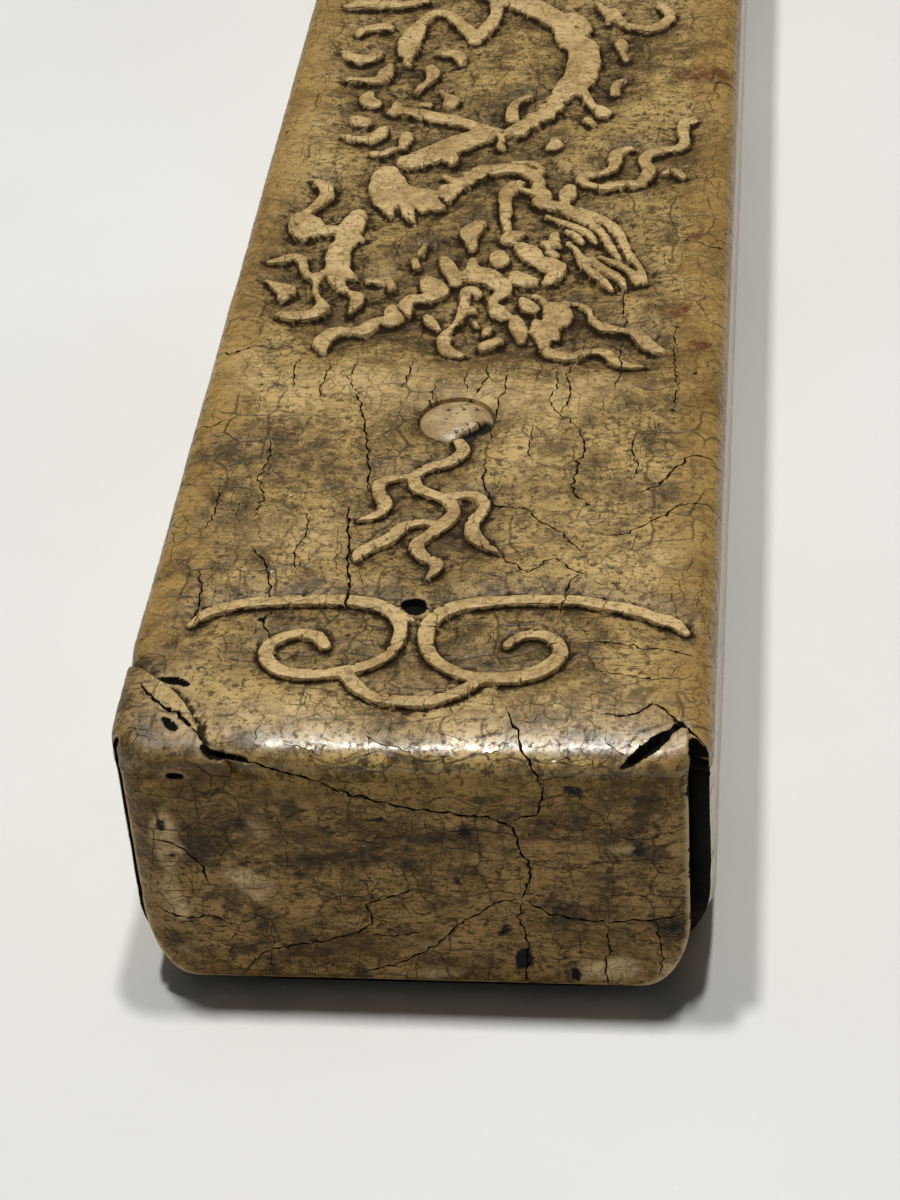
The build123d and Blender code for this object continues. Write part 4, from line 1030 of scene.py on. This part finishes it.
# Pale patches on the near end, in the same columns. Most are worn lacquer; the broad ones low down are
# painted light, standing for the light thrown up from the table.
end_wear_and_painted_light = [(-8.9, 8.7, 1, 0.5, 1), (-8, 8.1, 0.9, 0.7, 1), (-8.2, 7.5, 0.5, 0.5, 0.9),
            (-12.5, 10.5, 0.7, 2.8, 0.8), (-12.4, 6.6, 0.6, 1.6, 0.7), (-12.2, 3.2, 0.6, 0.9, 0.5),
            (10.2, 11, 0.8, 0.4, 0.5), (12.4, 2.8, 0.8, 1, 0.6), (1, 2, 3.4, 0.7, 0.6),
            (10, 2.6, 2.4, 1.2, 0.72), (0.8, 4.2, 1.8, 0.8, 0.5), (11, 4.4, 0.8, 0.8, 0.5),
            (-7.4, 11.6, 0.8, 1.2, 0.5)]


# Slow waves and small flakes in the coats on the ends and the sides.
waves = 0.03 + 0.02 * ripples(1.6) + 0.012 * ripples(0.4)
flakes = ripples(0.4)


def ragged(start, end, step, bite, seed):
    """Points along a broken edge, nicked to its left by up to `bite`."""
    chance = np.random.default_rng(seed)
    start, end = np.array(start, float), np.array(end, float)
    count = max(int(np.hypot(*(end - start)) / step), 2)
    side = np.array([start[1] - end[1], end[0] - start[0]]) / np.hypot(*(end - start))
    rough = np.convolve(chance.standard_normal(count + 20), np.hanning(11), "same")[10:10 + count]
    depth = unit(0.25 + rough / 4) ** 1.5 * bite
    depth += bite * 1.2 * (chance.random(count) < 0.04)
    depth[0] = 0
    points = start + (end - start) * (np.arange(count) / count)[:, None]
    return [tuple(p) for p in points + side * depth[:, None]]


low_round = 3.9                            # rounding of the bar's two long lower edges
foot_roll = 1.3                            # the end coat turns in a little at its foot
turn_in, turn_up = 3.6, 4.9                # breadth and height of the end coat's two low corners


def lower_inset(z, rounding=low_round):
    """How far the bar's long sides have turned in at a height, below the low rounding."""
    return rounding - np.sqrt(rounding ** 2 - np.clip(rounding - z, 0, rounding) ** 2)


end_coats = []
for name, node, facing, seed in (("near_end_coat", "near_end_skin", -1, 21),
                                 ("far_end_coat", "far_end_skin", 1, 22)):
    near = facing < 0
    low_corner = [(end_half - turn_in + turn_in * np.sin(a), end_foot + turn_up - turn_up * np.cos(a))
                  for a in np.linspace(0, np.pi / 2, 24, endpoint=False)]
    reach = end_half + 0.6
    rim = ragged((-reach + turn_in, end_foot), (end_half - turn_in, end_foot), 0.25, 0.1, seed)
    rim += low_corner
    rim += ragged((end_half, end_foot + turn_up), (end_half, end_head), 0.15, 0.08, seed + 10)
    rim += ragged((end_half, end_head), (-reach, end_head), 0.3, 0, seed)
    rim += ragged((-reach, end_head), (-reach, end_foot + turn_up), 0.15, 0.05, seed + 20)
    rim += [(-x + end_half - reach, z) for x, z in low_corner[:0:-1]]
    if not near:
        rim = [(-x, z) for x, z in rim[::-1]]
    pitch = 0.22 if near and fine else 0.4
    rows_x, rows_z = np.meshgrid(np.arange(-reach + 0.2, reach - 0.2, pitch),
                                 np.arange(end_foot + 0.15, end_head - 0.1, pitch))
    filling = np.stack([rows_x.ravel(), rows_z.ravel()], 1)
    filling += np.random.default_rng(seed).uniform(-0.3, 0.3, filling.shape) * pitch

    def edge_gap(x, z):
        """How far inside the end coat's outline a point is."""
        x = -x * facing
        shift = np.where(x < 0, reach, end_half)
        corner = np.hypot(np.clip(np.abs(x) - (shift - turn_in), 0, None),
                          np.clip(end_foot + turn_up - z, 0, None) * turn_in / turn_up)
        return np.minimum(np.minimum(shift - np.abs(x), z - end_foot), turn_in - corner)

    def in_end(x, z, gap=0.35):
        """Whether a point lies on the end coat, clear of its outline."""
        return edge_gap(x, z) > gap and z < end_head - 0.1

    filling = np.array([p for p in filling if in_end(*p, gap=0.15)])
    big = end_cracks if near else [([(-x, z) for x, z in path], w) for path, w in end_cracks[1:4]]
    big = jagged(big, seed)
    small_cracks = craze(330 if fine else 20, in_end, big,
                         ((-end_half, end_half), (end_foot, end_head)), seed)

    def over_the_end(places, groove):
        """Stands the flat net up on the end and bends it round the upright corners."""
        x, z = places.T
        out_x = np.clip(np.abs(x) - flat_x, 0, None)
        depth = np.sqrt(np.clip(roll ** 2 - out_x ** 2, 0, None))
        below = np.clip(end_foot + 1 - z, 0, foot_roll)
        depth -= foot_roll - np.sqrt(foot_roll ** 2 - below ** 2)
        at_head = unit((end_head - z) / 0.5)
        slid = np.stack([x, z + (20 if near else -30)], 1)
        broken = on_net(flakes, slid)
        bare = unit(patches(end_bare, x, z) * 1.9 + 1.2 * broken - 1.2) * near
        soot_and_shade = unit(patches(end_soot, x, z) * (0.85 + 0.95 * broken))
        soot_and_shade = soot_and_shade if near else soot_and_shade * 0.6
        wear_and_painted_light = unit(patches(end_wear_and_painted_light, x, z) * 3.4 + broken * 0.8 - 1.4) * near
        sink = (on_net(waves, slid) + 0.05 * bare - 0.02 * wear_and_painted_light) * at_head
        sink = np.clip(sink, 0, None) + groove
        y = facing * (flat_y + depth - sink)
        facts = {"bare": bare, "soot_and_shade": soot_and_shade, "wear_and_painted_light": wear_and_painted_light,
                 "edge": unit(1 - edge_gap(x, z) / 0.16),
                 "end_roll": unit((z - 13 + 0.6 * broken) / 1.6)}
        return np.stack([x, y, z], 1), facts

    corners, triangles, facts = lay_skin(rim, filling, big + small_cracks, over_the_end)
    behind = corners[:len(rim)].copy()
    behind[:, 1] = facing * abs(end_back)
    coat = make_skin(name, corners, triangles, len(rim), facts, behind)
    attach(coat, "root")
    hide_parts(node)
    end_coats.append(coat)

finish, tree, place = new_finish("darkened_end_lacquer")
level_grain = add(tree, "ShaderNodeMapping", {"Vector": place, "Scale": (0.9, 1.3, 1.5)}).outputs[0]
lacquer = lacquer_in(tree, level_grain, (178, 144, 88), (140, 109, 60), (62, 45, 22), 0.72, 0.8)
wear_and_painted_light_lacquer = lacquer_in(tree, place, (226, 196, 148), (202, 170, 122), (96, 72, 42), 0.4, 0.5)
head_lacquer = lacquer_in(tree, place, (170, 137, 76), (136, 105, 52), (60, 43, 17), 0.6, 0.7)
colour = blend_colours(tree, mesh_mask(tree, "end_roll"), lacquer[0], head_lacquer[0])
soot_and_shade_mask = settled(tree, place, "soot_and_shade", 0.68)
colour = blend_colours(tree, soot_and_shade_mask, colour, paint(36, 26, 13))
# Worn lacquer, and low down a painted light from the table, lighten the colour here.
colour = blend_colours(tree, mesh_mask(tree, "wear_and_painted_light"), colour, wear_and_painted_light_lacquer[0])
hairs = place_effect(tree, crazing, Vector=place, Cells=480.0, Width=0.05, Broken=0.4)[0]
colour = blend_colours(tree, faded(tree, hairs, 0.7), colour, paint(34, 25, 13))
cracked = spread(tree, mesh_mask(tree, "crack"), 0.0, 0.35)
colour = blend_colours(tree, cracked, colour, paint(16, 12, 7))
bare_ink = settled(tree, place, "bare")
colour = blend_colours(tree, bare_ink, colour, paint(9, 9, 7))
# A pale line round the coat's outline: worn pale lacquer and a painted highlight where the rounded edges
# catch the light.
colour = blend_colours(tree, faded(tree, mesh_mask(tree, "edge"), 0.85), colour, paint(222, 198, 152))
rough = weighted(tree, 0.34, (lacquer[1], 0.2), (lacquer[2], 0.22))
height = weighted(tree, 0.0, (lacquer[2], 0.9), (hairs, -0.5), clamp=False)
lay_finish(finish, end_coats, colour, rough, (height, 0.00009, 0.8),
           {"IOR": 1.5, "Specular IOR Level": 0.16})

# ---------------------------------------------------------------- coats on the two long sides
# Plain gilt lacquer on each long side, wrapped part of the way round the upright corners. Its broken
# edges stand a little back from the end coats, and black ink shows in the slots between them.

low, high = (np.array(corner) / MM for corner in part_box("right_side_skin"))
side_foot, side_head = low[2], high[2]
narrow_slot, wide_slot = 1.25, 1.5         # how far a side's edge is set back from an end
side_thickness = high[0] - 14.0


def wrap_to(z, setback):
    """How far along the unrolled side the coat runs at a height. Its foot is broken back."""
    upright = flat_y + roll * np.arcsin((roll - setback) / roll)
    return upright - 1.6 * max((3.6 - z) / 2.6, 0) ** 2


side_cracks = [
    ([(-60.5, 5), (-60, 5.2), (-57, 4.6), (-54, 5.3)], 0.1),
    ([(-60.4, 9), (-58, 8.4), (-55.4, 9), (-52, 8.2)], 0.1),
    ([(-34, 14.7), (-33.4, 11), (-34.4, 7), (-33.6, 2)], 0.1),
    ([(-12, 14.7), (-11, 12), (-12.4, 9.6), (-11.8, 7)], 0.1),
    ([(8, 1.4), (8.6, 5), (7.6, 8.4), (8.4, 12), (8, 14.7)], 0.1),
    ([(30, 14.7), (31, 11), (30.2, 8.6)], 0.1),
    ([(47, 1.4), (46.2, 4), (47.4, 7), (46.6, 10)], 0.1),
]

side_coats = []
for name, node, hand, seed in (("left_side_coat", "left_side_skin", -1, 31),
                               ("right_side_coat", "right_side_skin", 1, 32)):
    # A side's slot is wide at one end of the bar and narrow at the other.
    setbacks = (narrow_slot, wide_slot) if hand < 0 else (wide_slot, narrow_slot)
    near_foot, near_run = wrap_to(side_foot, setbacks[0]), wrap_to(side_head, setbacks[0])
    far_foot, far_run = wrap_to(side_foot, setbacks[1]), wrap_to(side_head, setbacks[1])
    steps = np.arange(side_foot, 4.6, 0.2)
    rim = ragged((-near_foot, side_foot), (far_foot, side_foot), 0.5, 0.12, seed)
    rim += [(wrap_to(z, setbacks[1]), z) for z in steps]
    rim += ragged((far_run, 4.6), (far_run, side_head), 0.2, 0.12, seed + 2)
    rim += ragged((far_run, side_head), (-near_run, side_head), 0.5, 0, seed)
    rim += ragged((-near_run, side_head), (-near_run, 4.6), 0.2, 0.12, seed + 3)
    rim += [(-wrap_to(z, setbacks[0]), z) for z in steps[::-1] + 0.2]
    pitch = 0.5 if fine else 1.2

    def in_side(s, z, gap=0.5):
        """Whether a point lies on the unrolled side coat, clear of its outline."""
        held_by = wrap_to(z, setbacks[1] if s > 0 else setbacks[0]) - gap
        return abs(s) < held_by and side_foot + 0.3 < z < side_head - 0.15

    rows_s, rows_z = np.meshgrid(np.arange(-near_run + 0.2, far_run - 0.2, pitch),
                                 np.arange(side_foot + 0.35, side_head - 0.2, pitch))
    filling = np.stack([rows_s.ravel(), rows_z.ravel()], 1)
    filling = np.array([p for p in filling if in_side(*p)])
    filling += np.random.default_rng(seed).uniform(-0.3, 0.3, filling.shape) * pitch
    big = jagged([([(s * hand, z) for s, z in path], width) for path, width in side_cracks], seed + 4)
    small_cracks = craze(800 if fine else 30, in_side, big,
                         ((-near_run, far_run), (side_foot, side_head)), seed)

    def turned_in(s, z):
        """How far the coat stands out from the rolled corner's middle. Its foot is rounder by the ends."""
        rounder = 3.6 if hand > 0 else 1.6
        rounding = low_round + rounder * unit((np.abs(s) - flat_y + 3) / 3)
        return np.clip(roll - lower_inset(z, rounding), 0.4, None)

    def over_the_side(places, groove):
        """Stands the flat net up on the side and rolls it round both upright corners."""
        s, z = places.T
        held = np.clip(s, -flat_y, flat_y)
        angle = np.abs(s - held) / roll
        sunk = turned_in(s, z)
        at_head = unit((side_head - z) / 0.5)
        slid = np.stack([z + (-10 if hand > 0 else 2), s], 1)
        sink = np.clip(on_net(waves, slid), 0, None) * at_head + groove
        x = flat_x + (sunk - sink) * np.cos(angle)
        y = held + np.sign(s) * (sunk - sink) * np.sin(angle)
        # Darker towards the coat's foot, and in scattered flakes.
        soot_and_shade = unit(1 - (z - side_foot) / 1.6) * 0.6
        soot_and_shade = np.maximum(soot_and_shade, unit(on_net(flakes, slid) - 0.4) * 0.6)
        edge = unit(1 - (np.where(s < 0, near_run, far_run) - np.abs(s)) / 0.25)
        return np.stack([x * hand, y, z], 1), {"soot_and_shade": soot_and_shade, "edge": edge}

    corners, triangles, facts = lay_skin(rim, filling, big + small_cracks, over_the_side)
    s, z = np.array(rim).T
    held = np.clip(s, -flat_y, flat_y)
    angle = np.abs(s - held) / roll
    inner = np.clip(turned_in(s, z) - side_thickness, 0.1, None)
    behind = np.stack([hand * (flat_x + inner * np.cos(angle)),
                       held + np.sign(s) * inner * np.sin(angle), z + 0.3 * (z < side_foot + 0.01)], 1)
    coat = make_skin(name, corners, triangles, len(rim), facts, behind)
    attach(coat, "root")
    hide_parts(node)
    side_coats.append(coat)

finish, tree, place = new_finish("plain_side_lacquer")
# The side lacquer is paler than the top's: its own tone, lightened as a painted reflection of the pale
# table in the grazing side.
lacquer = lacquer_in(tree, place, (196, 166, 110), (164, 134, 80), (96, 74, 38), 0.55, 0.55)
# Darker towards the foot and in flakes.
soot_and_shade_mask = settled(tree, place, "soot_and_shade", 0.8)
colour = blend_colours(tree, soot_and_shade_mask, lacquer[0], paint(52, 40, 23))
hairs = place_effect(tree, crazing, Vector=place, Cells=420.0, Width=0.05, Broken=0.42)[0]
colour = blend_colours(tree, faded(tree, hairs, 0.6), colour, paint(50, 38, 21))
cracked = spread(tree, mesh_mask(tree, "crack"), 0.0, 0.45)
colour = blend_colours(tree, faded(tree, cracked, 0.85), colour, paint(32, 24, 13))
colour = blend_colours(tree, faded(tree, mesh_mask(tree, "edge"), 0.6), colour, paint(190, 164, 118))
rough = weighted(tree, 0.08, (lacquer[1], 0.16), (lacquer[2], 0.16))
height = weighted(tree, 0.0, (lacquer[2], 0.35), (hairs, -0.8), clamp=False)
lay_finish(finish, side_coats, colour, rough, (height, 0.00007, 0.8), {"IOR": 1.5})

# ---------------------------------------------------------------- coat underneath
# A thin dull coat on the underside, rubbed by what the bar stood on. It is the foot of the rounded
# block, so it is cut from a block with rolled edges.

def stack_outlines(name, levels):
    """A closed block through rounded outlines: height, half width, half length, corner radius."""
    rings = [[(x, y, z) for x, y in rounded_rim(half_x, half_y, radius, 0.8)]
             for z, half_x, half_y, radius in levels]
    count = min(len(ring) for ring in rings)
    rings = [[ring[int(k * len(ring) / count)] for k in range(count)] for ring in rings]
    faces = [(row * count + k, row * count + (k + 1) % count,
              (row + 1) * count + (k + 1) % count, (row + 1) * count + k)
             for row in range(len(rings) - 1) for k in range(count)]
    faces += [tuple(range(count))[::-1], tuple((len(rings) - 1) * count + k for k in range(count))]
    block = new_piece(name, np.array([point for ring in rings for point in ring]), faces)
    smooth(block, 50)
    return block


under_coat = stack_outlines("under_coat", [
    (z, half_width - lower_inset(z) - 0.35 * min(z, 0.6), half_length - 1.7 + 0.9 * min(z / 0.5, 1), 5)
    for z in (0, 0.06, 0.14, 0.25, 0.4, 0.55, 0.75, 1.0)])

finish, tree, place = new_finish("rubbed_under_lacquer")
lacquer = lacquer_in(tree, place, (136, 110, 68), (104, 82, 48), (60, 46, 26), 0.8, 0.7)
hairs = place_effect(tree, crazing, Vector=place, Cells=380.0, Width=0.06, Broken=0.35)[0]
colour = blend_colours(tree, faded(tree, hairs, 0.8), lacquer[0], paint(38, 29, 17))
# Painted shade: above its bottom face the coat's rim is near black, for the dark band in the shade under
# the bar's overhang.
up = add(tree, "ShaderNodeSeparateXYZ", {0: place}).outputs[2]
colour = blend_colours(tree, spread(tree, up, 0.00002, 0.00025), colour, paint(9, 8, 6))
rough = weighted(tree, 0.55, (lacquer[1], 0.3))
height = weighted(tree, 0.0, (lacquer[2], 0.4), (hairs, -1.0), clamp=False)
lay_finish(finish, [under_coat], colour, rough, (height, 0.0001, 0.9),
           {"IOR": 1.5, "Specular IOR Level": 0.15})
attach(under_coat, "root")
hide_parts("under_skin")

# ---------------------------------------------------------------- pressed ink
# The bar itself: soot and glue pressed hard in a mould. It is matt black and a little grainy, and
# shows only in the slots at the corners and where the coat is chipped through.

low, high = (np.array(corner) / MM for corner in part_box("ink_core"))
core_levels = [(z, high[0] - 0.1 - lower_inset(z), high[1] - 0.5 * lower_inset(z),
                2.4 + 1.4 * lower_inset(z)) for z in np.linspace(low[2], low_round, 12)]
ink_core = stack_outlines("pressed_ink_core", core_levels + [(high[2], high[0] - 0.1, high[1], 2.4)])
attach(ink_core, "root")
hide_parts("ink_core")
finish, tree, place = new_finish("pressed_ink")
grain = clouds_of(tree, place, 1400.0, 5.0, 0.65)
cake = clouds_of(tree, place, 240.0, 3.0)
colour = blend_colours(tree, spread(tree, cake, 0.4, 0.65), paint(11, 12, 10), paint(24, 21, 16))
colour = blend_colours(tree, spread(tree, grain, 0.62, 0.75), colour, paint(46, 38, 28))
rough = weighted(tree, 0.55, (grain, 0.3))
lay_finish(finish, [ink_core], colour, rough, (grain, 0.00015, 1.0),
           {"IOR": 1.45, "Specular IOR Level": 0.2})

finish, tree, place = new_finish("broken_coat_edge")
grain = clouds_of(tree, place, 1800.0, 4.0, 0.6)
up = add(tree, "ShaderNodeSeparateXYZ", {0: place}).outputs[2]
umber = blend_colours(tree, spread(tree, grain, 0.35, 0.7), paint(26, 19, 12), paint(64, 48, 32))
colour = blend_colours(tree, spread(tree, up, 0.0062, 0.0045), paint(17, 16, 12), umber)
rough = weighted(tree, 0.45, (grain, 0.3))
lay_finish(finish, [top_coat, *end_coats, *side_coats], colour, rough, (grain, 0.0001, 0.8),
           {"IOR": 1.45, "Specular IOR Level": 0.2})

# ---------------------------------------------------------------- pearl
# The flaming pearl: a small domed disc of pale shell set in a socket in the top coat. It is pitted,
# and a crescent has broken out of its near right edge.

low, high = (np.array(corner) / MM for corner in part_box("pearl"))
seat, crown = low[2], high[2]
rim_height = 17.0
chance = np.random.default_rng(41)
bpy.ops.object.select_all(action="DESELECT")
bpy.ops.mesh.primitive_circle_add(vertices=96, radius=pearl_radius * MM, fill_type="NGON",
                                  location=(pearl_x * MM, pearl_y * MM, seat * MM))
pearl = bpy.context.object
pearl.name = "pearl_disc"
bpy.ops.object.transform_apply(location=True, rotation=True, scale=True)
bpy.ops.object.mode_set(mode="EDIT")
bpy.ops.mesh.select_all(action="SELECT")
bpy.ops.mesh.extrude_region_move(TRANSFORM_OT_translate={"value": (0, 0, (rim_height - seat) * MM)})
for _ in range(14):
    bpy.ops.mesh.inset(thickness=0.135 * MM)
bpy.ops.object.mode_set(mode="OBJECT")
pits = [(chance.uniform(-1.6, 1.6), chance.uniform(-1.6, 1.6), chance.uniform(0.05, 0.16))
        for _ in range(26)]
pearl.data.attributes.new("pit", "FLOAT", "POINT")
pit_values = []
for point in pearl.data.vertices:
    x, y = point.co.x / MM - pearl_x, point.co.y / MM - pearl_y
    out_by = min(np.hypot(x, y) / pearl_radius, 1)
    pit = 0.0
    if point.co.z / MM > rim_height - 0.01:
        dome = (crown - rim_height) * (1 - out_by ** 2.6) ** 0.8
        for pit_x, pit_y, size in pits:
            pit = max(pit, float(unit(1.25 - np.hypot(x - pit_x, y - pit_y) / size)))
        chip = float(unit((np.hypot(x + 0.35, y - 0.35) - 1.9) / 0.12))
        turn = np.degrees(np.arctan2(y, x))
        chip *= float(unit((turn + 85) / 12) * unit((5 - turn) / 12))
        point.co.z += (dome - 0.08 * pit - 0.4 * chip) * MM
        pit = max(pit, chip)
    pit_values.append(pit)
pearl.data.attributes["pit"].data.foreach_set("value", pit_values)
smooth(pearl, 50)

finish, tree, place = new_finish("old_shell")
lacquer = lacquer_in(tree, place, (204, 180, 136), (180, 154, 110), (112, 90, 54), 0.4, 0.4)
colour = blend_colours(tree, spread(tree, mesh_mask(tree, "pit"), 0.1, 0.7), lacquer[0],
                       paint(30, 25, 17))
rough = weighted(tree, 0.3, (lacquer[1], 0.2))
lay_finish(finish, [pearl], colour, rough, (lacquer[2], 0.00005, 0.7), {"IOR": 1.53})
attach(pearl, "root")
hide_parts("pearl")

# ---------------------------------------------------------------- table, lamps and camera
# The bar lies on a white table top with a faint grain, under two small ceiling lamps almost straight
# above it and one wide soft lamp behind.

bpy.ops.object.select_all(action="DESELECT")
bpy.ops.mesh.primitive_plane_add(size=4, location=(0, 0, 0))
table_top = bpy.context.object
table_top.name = "table_top"
finish, tree, place = new_finish("white_table")
faint = clouds_of(tree, place, 30.0, 3.0)
speck = clouds_of(tree, place, 900.0, 3.0, 0.6)
colour = blend_colours(tree, spread(tree, faint, 0.3, 0.7), paint(231, 230, 226), paint(236, 236, 233))
lay_finish(finish, [table_top], colour, 0.6, (speck, 0.0002, 0.3), {})

world = bpy.data.worlds.new("room")
world.use_nodes = True
world.node_tree.nodes["Background"].inputs[0].default_value = (1.0, 0.975, 0.93, 1.0)
world.node_tree.nodes["Background"].inputs[1].default_value = 0.06
bpy.context.scene.world = world


def lamp(name, place, size, power, colour):
    """A flat lamp turned towards the middle of the bar."""
    bpy.ops.object.light_add(type="AREA", location=place)
    light = bpy.context.object
    light.name = name
    light.data.shape = "RECTANGLE"
    light.data.size, light.data.size_y = size
    light.data.energy = power
    light.data.color = colour
    light.rotation_euler = (-Vector(place)).to_track_quat("-Z", "Y").to_euler()


lamp("left_ceiling_lamp", (-0.1, 0.012, 0.8), (0.06, 0.04), 3.1, (1.0, 0.995, 0.975))
lamp("right_ceiling_lamp", (0.06, 0.018, 0.8), (0.06, 0.04), 2.7, (1.0, 0.995, 0.975))
lamp("soft_lamp", (-0.1, 0.3, 0.8), (0.9, 0.7), 0.45, (1.0, 0.995, 0.98))

camera_data = bpy.data.cameras.new("camera")
camera = bpy.data.objects.new("camera", camera_data)
bpy.context.collection.objects.link(camera)
camera_data.lens = 88.8
camera_data.sensor_width = 36
camera_data.clip_start = 0.01
# The camera's own right, down and forward directions.
right = Vector((0.99364, 0.09428, -0.0616))
down = Vector((0.0099, -0.61796, -0.78615))
ahead = Vector((-0.11218, 0.78054, -0.61496))
turn = Matrix((right, -down, -ahead)).transposed()
camera.matrix_world = Matrix.Translation((0.018348, -0.169923, 0.111227)) @ turn.to_4x4()
bpy.context.scene.camera = camera
bpy.context.scene.view_settings.view_transform = "Standard"
